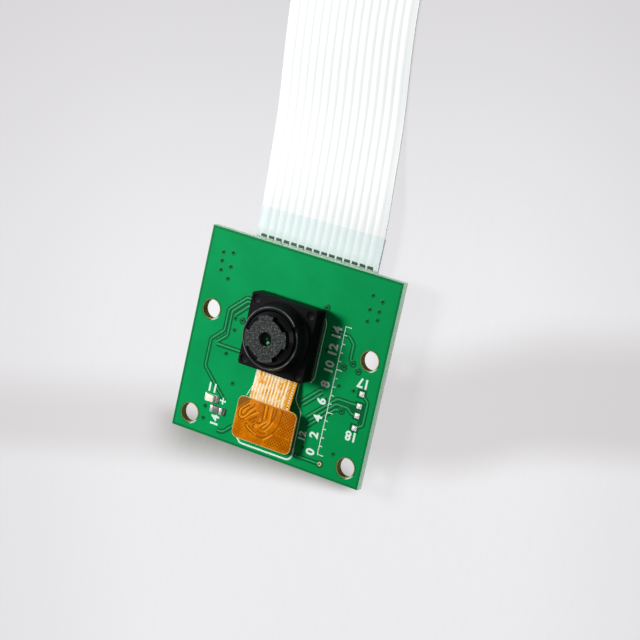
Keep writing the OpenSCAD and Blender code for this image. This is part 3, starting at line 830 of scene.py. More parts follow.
@dataclass(frozen=True)
class RibbonFilm(Finish):
    """White polyester film over flat conductors, tinted where the stiffener lies behind it.

    The piece's UV map holds the distance across the ribbon and along it, in metres.
    """

    name: str = "ribbon_film_finish"
    white: Colour = paint(251, 252, 252)
    stripe: Colour = paint(240, 245, 244)
    tint: Colour = paint(196, 226, 226)
    pitch: float = 1.0
    conductor: float = 0.7
    stiffener: float = 8.5
    length: float = 150.0

    def fill(self, g: Graph) -> None:
        """Pale stripes where a conductor runs, pale blue at the two stiffened ends.

        Args:
            g: The material's graph.
        """
        across, along = (g.axis(i, g.add("ShaderNodeUVMap").outputs[0]) for i in (0, 1))
        wires = g.stripes(across, self.pitch, self.conductor)
        near = g.ramp(along, self.stiffener + 0.1, self.stiffener - 0.1)
        far_start = self.length - self.stiffener
        far = g.ramp(along, far_start - 0.1, far_start + 0.1)
        backed = g.most(near, far)
        cloud = g.step(g.noise(5, 3), 0.35, 0.7)
        stripe = g.coat(self.stripe, paint(250, 253, 252), cloud, 0.4)
        film = g.blend(wires, self.white, stripe)
        film = g.coat(film, self.tint, backed, 0.36)
        g.relief(g.noise(0.8, 2, 0.5, g.stretched((1, 0.15, 1))), 0.01, 0.5)
        g.finish(Base_Color=film, Roughness=0.3, Specular_IOR_Level=0.35)


@dataclass(frozen=True)
class Conductor(Finish):
    """Bare tinned conductors with a painted reflection of the board above them: dark, and pale by its
    edge.
    """

    name: str = "shaded_conductor"
    edge_y: float = 15.7
    deep: Colour = paint(24, 78, 50)
    pale: Colour = paint(196, 202, 186)

    def fill(self, g: Graph) -> None:
        """Two tones of painted reflection that change where the board's edge is mirrored, over a rolled
        grain.

        Args:
            g: The material's graph.
        """
        grain = g.noise(0.2, 2, 0.5, g.stretched((1, 0.2, 1)))
        near = g.ramp(g.axis(1), self.edge_y + 0.05, self.edge_y - 0.05)
        tone = g.coat(self.deep, paint(10, 46, 28), grain, 0.5)
        g.relief(grain, 0.005, 0.5)
        g.finish(Base_Color=g.blend(near, tone, self.pale), Metallic=0.6, Roughness=0.4)


@dataclass(frozen=True)
class StiffenerFilm(Finish):
    """Blue polyester stiffener with a satin face."""

    name: str = "stiffener_finish"
    blue: Colour = paint(36, 118, 200)
    pale: Colour = paint(70, 150, 222)

    def fill(self, g: Graph) -> None:
        """Blue with faint rolling marks along it.

        Args:
            g: The material's graph.
        """
        rolled = g.noise(0.5, 3, 0.5, g.stretched((1, 0.1, 1)))
        tone = g.blend(g.step(rolled, 0.35, 0.7), self.blue, self.pale)
        tone = g.blend(g.step(g.facing(0), 0.5, 0.8), tone, paint(206, 222, 246))
        g.relief(rolled, 0.008, 0.5)
        g.finish(Base_Color=tone, Roughness=0.36)


MASKED_GAP = MaskedCopper("mask_over_gap", paint(0, 94, 46))
TIN = Plating("tin_plate", paint(206, 206, 204), paint(166, 168, 168), metal=0.7)
SOLDER = Plating("solder_metal", paint(222, 220, 218), paint(178, 178, 178), 0.45, 0.25, 0.015, 0.5)
GOLD = Plating("gold_flash", paint(232, 190, 100), paint(196, 148, 66))
SHADED = Conductor()
GILT = Plating("gilt_via", paint(206, 196, 128), paint(150, 140, 80), 0.5, metal=0.3)
TRACK_GAP = Polyimide("coverlay_over_gap", paint(152, 84, 5), paint(128, 68, 2), 0.4, 0.03)
LID = Plating("lid_plate", paint(206, 204, 196), paint(176, 172, 164), 0.32, 0.3)
INNER = Moulding("inner_plastic", paint(12, 12, 14), paint(30, 30, 33), 0.4, 0.16, 0.012, 0.3, 0.1)
DARK = Moulding("connector_dark", paint(40, 34, 30), paint(86, 78, 70), 0.45, 0.1, 0.01)
CREAM = Moulding("connector_cream", paint(224, 214, 190), paint(246, 240, 222), 0.42, 0.14, 0.01, 0.4)
CHIP_BLACK = Moulding("chip_epoxy", paint(26, 26, 28), paint(70, 70, 72), 0.5, 0.07, 0.012, 0.5)
SENSOR = Moulding("sensor_silicon", paint(44, 48, 60), paint(96, 92, 120), 0.2, 0.3, 0.002)
CHIP_BODIES = {
    ChipKind.CAPACITOR: Ceramic("capacitor_ceramic", paint(178, 148, 112), paint(150, 120, 88)),
    ChipKind.RESISTOR: Ceramic("resistor_glaze", paint(92, 86, 86), paint(124, 116, 114), 0.4),
    ChipKind.FERRITE: Ceramic("ferrite_body", paint(72, 70, 68), paint(50, 49, 48)),
}
SHARP_EDGE = 34.0


# ---- Modelling ----


class Bench:
    """Blender's modelling operators, each used on one piece at a time."""

    @staticmethod
    def clear() -> None:
        """Leaves edit mode and deselects everything."""
        active = bpy.context.object
        if active and active.mode != "OBJECT":
            bpy.ops.object.mode_set(mode="OBJECT")
        bpy.ops.object.select_all(action="DESELECT")

    @staticmethod
    def take(*objects: Piece) -> None:
        """Selects the objects alone and makes the first of them active."""
        Bench.clear()
        for item in objects:
            item.select_set(True)
        bpy.context.view_layer.objects.active = objects[0]

    @staticmethod
    def added(name: str) -> Piece:
        """Names the primitive that has just been added and puts its place into its mesh.

        Args:
            name: The piece's name.

        Returns:
            The piece.
        """
        piece = bpy.context.object
        piece.name = name
        piece.data.name = name
        bpy.ops.object.transform_apply(location=True, rotation=True, scale=True)
        return piece

    @staticmethod
    def block(name: str, low: Vector, high: Vector) -> Piece:
        """Adds a cube between two corners, as the start of a piece.

        Args:
            name: The piece's name.
            low, high: The two corners, in metres.

        Returns:
            The cube.
        """
        Bench.clear()
        bpy.ops.mesh.primitive_cube_add(size=1, location=(low + high) / 2, scale=high - low)
        return Bench.added(name)

    @staticmethod
    def disc(name: str, centre: Vector, radius: float, sides: int = 24) -> Piece:
        """Adds a filled circle that faces +Z, as the start of a turned piece.

        Args:
            name: The piece's name.
            centre: Its middle, in metres.
            radius: Its radius in metres.
            sides: How many sides it has.

        Returns:
            The filled circle.
        """
        Bench.clear()
        bpy.ops.mesh.primitive_circle_add(vertices=sides, radius=radius, fill_type="NGON", location=centre)
        return Bench.added(name)

    @staticmethod
    def edit(piece: Piece, part: Part = Part.FACE, whole: bool = False) -> None:
        """Opens the piece in edit mode.

        Args:
            piece: The piece to open.
            part: Whether its points, edges or faces can be selected.
            whole: Whether all of it is selected at first, or nothing.
        """
        Bench.take(piece)
        bpy.ops.object.mode_set(mode="EDIT")
        bpy.ops.mesh.select_mode(type=part.name)
        bpy.ops.mesh.select_all(action="SELECT" if whole else "DESELECT")

    @staticmethod
    def pick(test: Callable[[object], bool], part: Part = Part.FACE) -> None:
        """Selects what passes the test in the open piece, and nothing else.

        Args:
            test: Says of each point, edge or face whether it is selected.
            part: Which of them the test is asked about.
        """
        mesh = bpy.context.object.data
        cage = bmesh.from_edit_mesh(mesh)
        for item in getattr(cage, part.value):
            item.select_set(bool(test(item)))
        bmesh.update_edit_mesh(mesh)

    @staticmethod
    def close() -> None:
        """Leaves edit mode."""
        bpy.ops.object.mode_set(mode="OBJECT")

    @staticmethod
    def set_in(width: float, rise: float = 0.0) -> None:
        """Insets the selected faces and raises them, both in millimetres."""
        bpy.ops.mesh.inset(thickness=width * MM)
        if rise:
            bpy.ops.transform.translate(value=at(0, 0, rise))

    @staticmethod
    def raise_up(height: float, narrow: float) -> None:
        """Extrudes the selection by a height in millimetres and narrows its top by a factor."""
        bpy.ops.mesh.extrude_region_move(TRANSFORM_OT_translate={"value": at(0, 0, height)})
        bpy.ops.transform.resize(value=(narrow, narrow, 1))

    @staticmethod
    def turn_out(piece: Piece) -> None:
        """Turns all of a piece's faces outwards.

        Args:
            piece: The piece to turn out.
        """
        Bench.edit(piece, whole=True)
        bpy.ops.mesh.normals_make_consistent(inside=False)
        Bench.close()

    @staticmethod
    def flip(piece: Piece) -> None:
        """Turns all of a piece's faces over.

        Args:
            piece: The piece to flip.
        """
        Bench.edit(piece, whole=True)
        bpy.ops.mesh.flip_normals()
        Bench.close()

    @staticmethod
    def tidy(piece: Piece, gap: float = 0.0005) -> None:
        """Merges doubled points that lie within the gap, and turns all faces outwards.

        Args:
            piece: The piece to tidy.
            gap: The widest gap that is closed, in millimetres.
        """
        Bench.edit(piece, Part.VERT, whole=True)
        bpy.ops.mesh.remove_doubles(threshold=gap * MM)
        bpy.ops.mesh.normals_make_consistent(inside=False)
        Bench.close()

    @staticmethod
    def modify(piece: Piece, kind: str, **settings: object) -> None:
        """Adds a modifier with its settings and applies it.

        Args:
            piece: The piece to change.
            kind: The modifier's type.
            settings: The modifier's settings by name.
        """
        Bench.take(piece)
        bpy.ops.object.modifier_add(type=kind)
        modifier = piece.modifiers[-1]
        for key, value in settings.items():
            setattr(modifier, key, value)
        bpy.ops.object.modifier_apply(modifier=modifier.name)

    @staticmethod
    def smooth(piece: Piece, angle: float = 32.0) -> None:
        """Shades the piece smooth, except at edges sharper than the angle in degrees."""
        Bench.take(piece)
        bpy.ops.object.shade_smooth_by_angle(angle=radians(angle))

    @staticmethod
    def join(name: str, pieces: Sequence[Piece]) -> Piece:
        """Joins pieces into one of that name.

        Args:
            name: The joined piece's name.
            pieces: What is joined.

        Returns:
            The joined piece.
        """
        Bench.take(*pieces)
        if len(pieces) > 1:
            bpy.ops.object.join()
        piece = bpy.context.object
        piece.name = name
        piece.data.name = name
        return piece

    @staticmethod
    def copy(piece: Piece, name: str, turn: Matrix) -> Piece:
        """Copies a piece with its own mesh, moved or turned in that mesh.

        Args:
            piece: The piece to copy.
            name: The copy's name.
            turn: How the copy is moved and turned.

        Returns:
            The copy.
        """
        twin = bpy.data.objects.new(name, piece.data.copy())
        bpy.context.scene.collection.objects.link(twin)
        twin.data.transform(turn)
        twin.data.name = name
        return twin

    @staticmethod
    def drop(piece: Piece) -> None:
        """Removes a piece that was only a pattern for copies."""
        bpy.data.objects.remove(piece, do_unlink=True)


def settle(piece: Piece, finishes: Sequence[Finish], body: Body = Body.MODULE) -> Piece:
    """Gives a finished piece its body and its materials.

    Args:
        piece: The finished piece.
        finishes: One finish, or one for each of the piece's material slots.
        body: The body that the piece rides on.

    Returns:
        The same piece.
    """
    while len(piece.data.materials) < len(finishes):
        piece.data.materials.append(None)
    for index, finish in enumerate(finishes):
        piece.data.materials[index] = finish.material()
    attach(piece, body.value)
    log.info("%s: %d faces on %s", piece.name, len(piece.data.polygons), body.value)
    return piece


def plated_end(
    low: Vector, high: Vector, side: int, edge: float, bulge: float, radius: float, segments: int
) -> Piece:
    """A plated end of a small part: a block with rounded edges and a cushioned outer face.

    Args:
        low, high: The block's corners, in metres.
        side: 1 where it looks along +X and -1 where it looks the other way.
        edge: Width round the cushion in millimetres.
        bulge: How far the cushion stands out in millimetres.
        radius: Radius of the rounded edges in millimetres.
        segments: How many faces round an edge.

    Returns:
        The end.
    """
    end = Bench.block("end", low, high)
    Bench.edit(end)
    Bench.pick(lambda f: f.normal.x * side > 0.9)
    bpy.ops.mesh.inset(thickness=edge * MM)
    bpy.ops.transform.translate(value=at(bulge * side, 0, 0))
    Bench.close()
    Bench.modify(end, "BEVEL", width=radius * MM, segments=segments)
    Bench.smooth(end, 40)
    return end


def dress(finish: Finish, *nodes: str) -> None:
    """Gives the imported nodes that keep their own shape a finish."""
    for node in nodes:
        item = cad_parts[node]
        for index in range(len(item.data.materials)):
            item.data.materials[index] = finish.material()
        log.info("%s: %s", node, finish.name)


def softened(
    node: str, name: str, width: float, finish: Finish, body: Body = Body.MODULE
) -> Piece:
    """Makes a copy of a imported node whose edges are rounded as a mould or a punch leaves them.

    Args:
        node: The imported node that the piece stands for.
        name: The new piece's name.
        width: Width of the rounded edge in millimetres.
        finish: The piece's finish.
        body: The body that it rides on.

    Returns:
        The new piece.
    """
    Bench.clear()
    piece = bpy.data.objects.new(name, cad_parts[node].data.copy())
    bpy.context.scene.collection.objects.link(piece)
    Bench.take(piece)
    bpy.ops.mesh.customdata_custom_splitnormals_clear()
    Bench.tidy(piece, 0.0008)
    Bench.edit(piece, whole=True)
    bpy.ops.mesh.mark_sharp(clear=True)
    bpy.ops.mesh.dissolve_limited(angle_limit=radians(1.0))
    Bench.close()
    Bench.modify(
        piece, "BEVEL", width=width * MM, segments=2, limit_method="ANGLE",
        angle_limit=radians(SHARP_EDGE), use_clamp_overlap=True, miter_outer="MITER_ARC",
    )
    Bench.smooth(piece, 40)
    Bench.modify(piece, "WEIGHTED_NORMAL", keep_sharp=True)
    settle(piece, [finish], body)
    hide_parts(node)
    return piece


def ribbons(
    name: str, runs: Iterable[Sequence[Point]], width: float, z: float, height: float, closed: bool = False
) -> Piece:
    """Models low ridges that follow flat runs of points, such as tracks or printed lines.

    Args:
        name: The new piece's name.
        runs: For each ridge, its points in millimetres.
        width: Width of a ridge in millimetres.
        z: Height of the surface that they lie on, in millimetres.
        height: Height of a ridge over the surface in millimetres.
        closed: Whether each run returns to its start.

    Returns:
        One mesh with all the ridges.
    """
    Bench.clear()
    line = bpy.data.curves.new(name, "CURVE")
    line.dimensions = "3D"
    line.bevel_depth = width / 2 * MM
    line.bevel_resolution = 2
    line.use_fill_caps = True
    for run in runs:
        spline = line.splines.new("POLY")
        spline.points.add(len(run) - 1)
        spline.use_cyclic_u = closed
        for point, (x, y) in zip(spline.points, run):
            point.co = (x * MM, y * MM, 0, 1)
    piece = bpy.data.objects.new(name, line)
    bpy.context.scene.collection.objects.link(piece)
    Bench.take(piece)
    bpy.ops.object.convert(target="MESH")
    piece = bpy.context.object
    piece.scale = (1, 1, height / (width / 2))
    piece.location = (0, 0, z * MM)
    bpy.ops.object.transform_apply(location=True, rotation=True, scale=True)
    Bench.tidy(piece)
    Bench.smooth(piece, 60)
    return piece


def rounded(run: Sequence[Point], reach: float, steps: int = 3) -> list[Point]:
    """Rounds the corners of a run of points.

    Args:
        run: The run's points in millimetres.
        reach: How far from each corner the rounding starts.
        steps: Points on each rounded corner.

    Returns:
        The run with its inner corners replaced.
    """
    points = [Vector(p) for p in run]
    out = [points[0]]
    for before, corner, after in zip(points, points[1:], points[2:]):
        start = corner + (before - corner).normalized() * min(reach, (before - corner).length / 2)
        end = corner + (after - corner).normalized() * min(reach, (after - corner).length / 2)
        for step in range(steps + 1):
            t = step / steps
            out.append(start * (1 - t) ** 2 + corner * 2 * t * (1 - t) + end * t * t)
    out.append(points[-1])
    return [tuple(p) for p in out]


def shifted(run: Sequence[Point], dx: float, dy: float) -> list[Point]:
    """Moves a run of points by a distance in X and Y."""
    return [(x + dx, y + dy) for x, y in run]


# ---- Studio ----


@dataclass
class Lamp:
    """A soft lamp: the way to it from the module, its distance, width and power."""

    name: str
    way: tuple[float, float, float]
    distance: float
    width: float
    power: float
    tone: Colour = (1.0, 1.0, 1.0, 1.0)

    def build(self, target: Vector) -> None:
        """Places the lamp and turns it to the target.

        Args:
            target: The place that it points to, in metres.
        """
        Bench.clear()
        way = Vector(self.way).normalized()
        bpy.ops.object.light_add(type="AREA", location=target + way * self.distance * MM)
        lamp = bpy.context.object
        lamp.name = self.name
        lamp.rotation_euler = way.to_track_quat("Z", "Y").to_euler()
        lamp.data.shape = "DISK"
        lamp.data.size = self.width * MM
        lamp.data.energy = self.power
        lamp.data.color = self.tone[:3]


@dataclass
class Studio:
    """The pale surface that the module lies on, the soft light and the camera."""

    surface_z: float = -3.62
    surface_w: float = 1600.0
    open_tone: Colour = paint(240, 239, 241)
    far_tone: Colour = paint(212, 210, 213)
    low_tone: Colour = paint(200, 196, 196)
    glow: float = 0.9
    sky: float = 0.1
    gloss_sky: float = 0.6
    eye: tuple[float, float, float] = (111.3, 56.77, 215.96)
    right: tuple[float, float, float] = (0.8544, 0.2129, -0.474)
    up: tuple[float, float, float] = (-0.2789, 0.9576, -0.0727)
    lens: float = 123.75
    lamps: tuple[Lamp, ...] = (
        Lamp("key_lamp", (-0.66, 0.16, 0.76), 300, 105, 0.98),
        Lamp("fill_lamp", (0.95, 0.28, 0.15), 700, 420, 0.95),
    )

    def surface_material(self) -> Material:
        """Pale cloth that keeps a faint shadow, with painted shadow beside and below the module and
        painted light under it.

        Returns:
            The material.
        """
        g = Graph("studio_surface")
        placed = g.stretched((1, 1, 1), -15)
        side, rise = g.axis(0, placed), g.axis(1, placed)
        warp = g.noise(0.6, 2, 0.6, g.stretched((1, 0.15, 1), -15))
        cloud = g.step(g.noise(60, 2), 0.3, 0.7)
        far = g.times(g.ramp(rise, 6, 56), 0.85)
        tone = g.blend(far, self.open_tone, self.far_tone)
        # Painted shadow: a darker band across the cloth beside the module, deeper to the right.
        high = g.scaled(g.ramp(side, 10, -15), 4 * MM, rise)
        high = g.scaled(g.ramp(side, 15, 34), -3 * MM, high)
        low = g.scaled(g.ramp(side, 18, 32), -2.5 * MM, rise)
        shadow_band = g.times(g.ramp(high, 6.5, -0.5), g.ramp(low, -11.5, -6.5))
        near = g.ramp(g.size(side), 85, 45)
        shadow_band = g.times(g.times(shadow_band, near),
                       g.scaled(g.ramp(side, -30, 25), 0.14, 0.46))
        tone = g.blend(shadow_band, tone, self.low_tone)
        rim = g.ramp(g.size(g.minus(side, 4 * MM)), 20, 50)
        tone = g.coat(tone, paint(200, 198, 200), rim, 0.3)
        tone = g.coat(tone, paint(226, 223, 224), cloud, 0.12)
        # Painted light: the cloth under the board is lightened, so that it shows pale through the holes.
        under = g.most(g.size(g.plus(g.axis(0), 1.9 * MM)),
                      g.size(g.scaled(g.axis(1), 1.4, -8.7 * MM)))
        tone = g.blend(g.ramp(under, 12.7, 10.2), tone, paint(246, 245, 246))
        tone = g.coat(tone, paint(140, 142, 132), self.shade_below(g), 0.85)
        tone = g.coat(tone, paint(222, 220, 222), g.step(warp, 0.3, 0.8), 0.08)
        g.relief(warp, 0.02, 0.3)
        g.finish(Base_Color=tone, Roughness=0.9, Specular_IOR_Level=0.1)
        glow = g.add("ShaderNodeEmission")
        g.feed(glow.inputs["Color"], tone)
        rays = g.add("ShaderNodeLightPath")
        seen = g.most(rays.outputs["Is Camera Ray"], rays.outputs["Is Glossy Ray"])
        seen = g.most(seen, rays.outputs["Is Transmission Ray"])
        mix = g.add("ShaderNodeMixShader")
        g.feed(mix.inputs[0], g.times(seen, self.glow))
        g.feed(mix.inputs[1], g.shader.outputs[0])
        g.feed(mix.inputs[2], glow.outputs[0])
        g.feed(g.tree.nodes["Material Output"].inputs["Surface"], mix.outputs[0])
        return g.material

    def shade_below(self, g: Graph) -> Socket:
        """The soft shadow along the board's low edge, narrower to the right.

        Args:
            g: The graph of the surface's material.

        Returns:
            A share from 0 to 1.
        """
        across, along = g.axis(0), g.axis(1)
        drop = g.minus(-9.3 * MM, along)
        reach = g.scaled(across, -0.19, 3.1 * MM)
        band = g.step(g.minus(1.0, g.work(Sum.OVER, drop, reach)), 0.0, 1.15)
        ends = g.times(g.ramp(across, -19, -11), g.ramp(across, 11.5, 8.5))
        return g.times(g.times(band, ends), g.ramp(along, -6.3, -9.2))

    def build_surface(self) -> None:
        """A wide flat sheet at the height of the module's lowest point."""
        Bench.clear()
        bpy.ops.mesh.primitive_plane_add(size=self.surface_w * MM, location=at(0, 0, self.surface_z))
        sheet = Bench.added("studio_surface")
        sheet.data.materials.append(self.surface_material())

    def build_light(self) -> None:
        """Soft lamps and an even, weak sky."""
        for lamp in self.lamps:
            lamp.build(at(0, 4, 0))
        world = bpy.data.worlds.new("studio_sky")
        world.use_nodes = True
        tree = world.node_tree
        sky = tree.nodes["Background"]
        sky.inputs["Color"].default_value = (1, 1, 1, 1)
        rays = tree.nodes.new("ShaderNodeLightPath")
        level = tree.nodes.new("ShaderNodeMapRange")
        level.inputs["To Min"].default_value = self.sky
        level.inputs["To Max"].default_value = self.gloss_sky
        tree.links.new(rays.outputs["Is Glossy Ray"], level.inputs["Value"])
        tree.links.new(level.outputs[0], sky.inputs["Strength"])
        bpy.context.scene.world = world

    def build_camera(self) -> None:
        """The camera, looking down on the module from its right."""
        Bench.clear()
        bpy.ops.object.camera_add(location=at(*self.eye))
        camera = bpy.context.object
        camera.name = "studio_camera"
        right = Vector(self.right).normalized()
        back = right.cross(Vector(self.up)).normalized()
        columns = Matrix((right, back.cross(right), back)).transposed()
        camera.rotation_euler = columns.to_euler()
        camera.data.lens = self.lens
        camera.data.clip_start = 0.01
        camera.data.clip_end = 20
        scene = bpy.context.scene
        scene.camera = camera
        scene.view_settings.view_transform = "Standard"

    def build(self) -> None:
        """Sets up the whole studio."""
        self.build_camera()
        self.build_surface()
        self.build_light()
        log.info("studio: surface, %d lamps and camera", len(self.lamps))


# ---- The module's pieces ----


@dataclass
class RibbonCable:
    """The flat ribbon: from its connector down in a low S, then straight along the surface."""

    width: float = 16.0
    thickness: float = 0.2
    length: float = 150.0
    seat_y: float = 10.9
    seat_z: float = -2.2
    rest_z: float = -3.5
    lift: float = 0.2
    bare: float = 5.15
    ways: int = 15
    pitch: float = 1.0
    swell: float = 0.012
    wire_foot: float = 0.36
    wire_top: float = 0.28
    exit: tuple[float, float, float] = (0.0, 15.25, -2.2)
    falls: tuple[tuple[float, float], ...] = (
        (0, 1), (2, 1), (4, 1), (6.5, 1), (8.6, 1), (10.6, 0.95), (12.6, 0.81), (14.6, 0.6),
        (16.6, 0.38), (18.6, 0.2), (20.6, 0.08), (22.6, 0.02), (25, 0), (150, 0),
    )
    rises: tuple[tuple[float, float], ...] = (
        (0, 0), (135, 0), (138, 0.3), (139.5, 0.7), (141, 1), (150, 1),
    )
    sways: tuple[tuple[float, float], ...] = (
        (0, 0), (8, 0), (11, -0.15), (15, -0.65), (20, -1.3), (32, -2.7), (42, -3.0), (56, -2.4),
        (72, -1.1), (88, -0.2), (100, 0), (150, 0),
    )

    @staticmethod
    def between(table: Sequence[tuple[float, float]], s: float) -> float:
        """Reads a share from a table at a distance, on a smooth line through its points.

        Args:
            table: Distances, each with its share.
            s: The distance in millimetres.

        Returns:
            The share at that distance.
        """
        last = len(table) - 1
        for i in range(last):
            (s0, a), (s1, b) = table[i], table[i + 1]
            if s <= s1:
                before, after = table[max(i - 1, 0)], table[min(i + 2, last)]
                m0 = (b - before[1]) / (s1 - before[0]) * (s1 - s0) if i else 0.0
                m1 = (after[1] - a) / (after[0] - s0) * (s1 - s0) if i + 1 < last else 0.0
                t = (s - s0) / (s1 - s0)
                return (
                    a * (2 * t**3 - 3 * t**2 + 1)
                    + b * (3 * t**2 - 2 * t**3)
                    + m0 * (t**3 - 2 * t**2 + t)
                    + m1 * (t**3 - t**2)
                )
        return table[last][1]

    def centre(self, s: float) -> Vector:
        """The middle of the ribbon at a distance from its inserted end.

        Args:
            s: The distance in millimetres.

        Returns:
            The place in metres.
        """
        fall = self.between(self.falls, s) * (self.seat_z - self.rest_z)
        rise = self.between(self.rises, s) * self.lift
        return at(self.between(self.sways, s), self.seat_y + s, self.rest_z + fall + rise)

    def across(self, s: float) -> Vector:
        """The level direction across the ribbon at a distance, square to its route."""
        along = self.centre(min(s + 0.5, self.length)) - self.centre(max(s - 0.5, 0))
        return Vector((along.y, -along.x, 0)).normalized()

    def stations(self) -> list[float]:
        """Distances along the ribbon where its mesh has a row, closer together in the bends.

        Returns:
            The distances in millimetres.
        """
        fine = [i * 0.5 for i in range(2 * 26)]
        middle = [26.0 + 3 * i for i in range(36)]
        far = [134.0 + 0.5 * i for i in range(33)]
        return fine + middle + far

    def build(self) -> None:
        """Models the film as a strip that follows the route, then gives it its thickness."""
        half = self.width / 2
        edges = []
        for i in range(self.ways):
            middle = (i - (self.ways - 1) / 2) * self.pitch
            foot, top = self.wire_foot, self.wire_top
            edges += [(middle - foot, 0), (middle - top, 1), (middle + top, 1), (middle + foot, 0)]
        columns = [(-half, 0), *edges, (half, 0)]
        rows = self.stations()
        Bench.clear()
        bpy.ops.mesh.primitive_grid_add(
            x_subdivisions=len(columns) - 1, y_subdivisions=len(rows) - 1, size=1
        )
        film = Bench.added("ribbon_film")
        mesh = film.data
        uv = mesh.uv_layers.active.data
        for vertex in mesh.vertices:
            column, row = vertex.index % len(columns), vertex.index // len(columns)
            x, raised = columns[column]
            swell = self.swell if raised and self.bare < rows[row] < self.length - self.bare else 0
            vertex.co = self.centre(rows[row]) + self.across(rows[row]) * x * MM + at(0, 0, swell)
        for loop in mesh.loops:
            column, row = loop.vertex_index % len(columns), loop.vertex_index // len(columns)
            uv[loop.index].uv = (columns[column][0] * MM, rows[row] * MM)
        Bench.turn_out(film)
        Bench.modify(film, "SOLIDIFY", thickness=self.thickness * MM, offset=0, use_even_offset=True)
        Bench.edit(film, Part.VERT)
        low, high = self.seat_y + self.bare, self.seat_y + self.length - self.bare
        for test, z in (
            (lambda y: y < low - 0.01, self.seat_z), (lambda y: y > high + 0.01, self.rest_z + self.lift)
        ):
            Bench.pick(lambda v: test(v.co.y / MM) and v.co.z / MM > z, Part.VERT)
            bpy.ops.transform.resize(value=(1, 1, 0), center_override=at(0, 0, z), orient_type="GLOBAL")
            bpy.ops.mesh.select_all(action="DESELECT")
        Bench.close()
        Bench.smooth(film, 40)
        settle(film, [RibbonFilm(pitch=self.pitch, length=self.length)])
        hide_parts("ribbon_cable")
        [self.centre(s) for s in rows if s >= self.exit[1] - self.seat_y - 0.3]
        dress(StiffenerFilm(), "near_stiffener", "far_stiffener")
        dress(SHADED, "near_conductors")
        dress(TIN, "far_conductors")


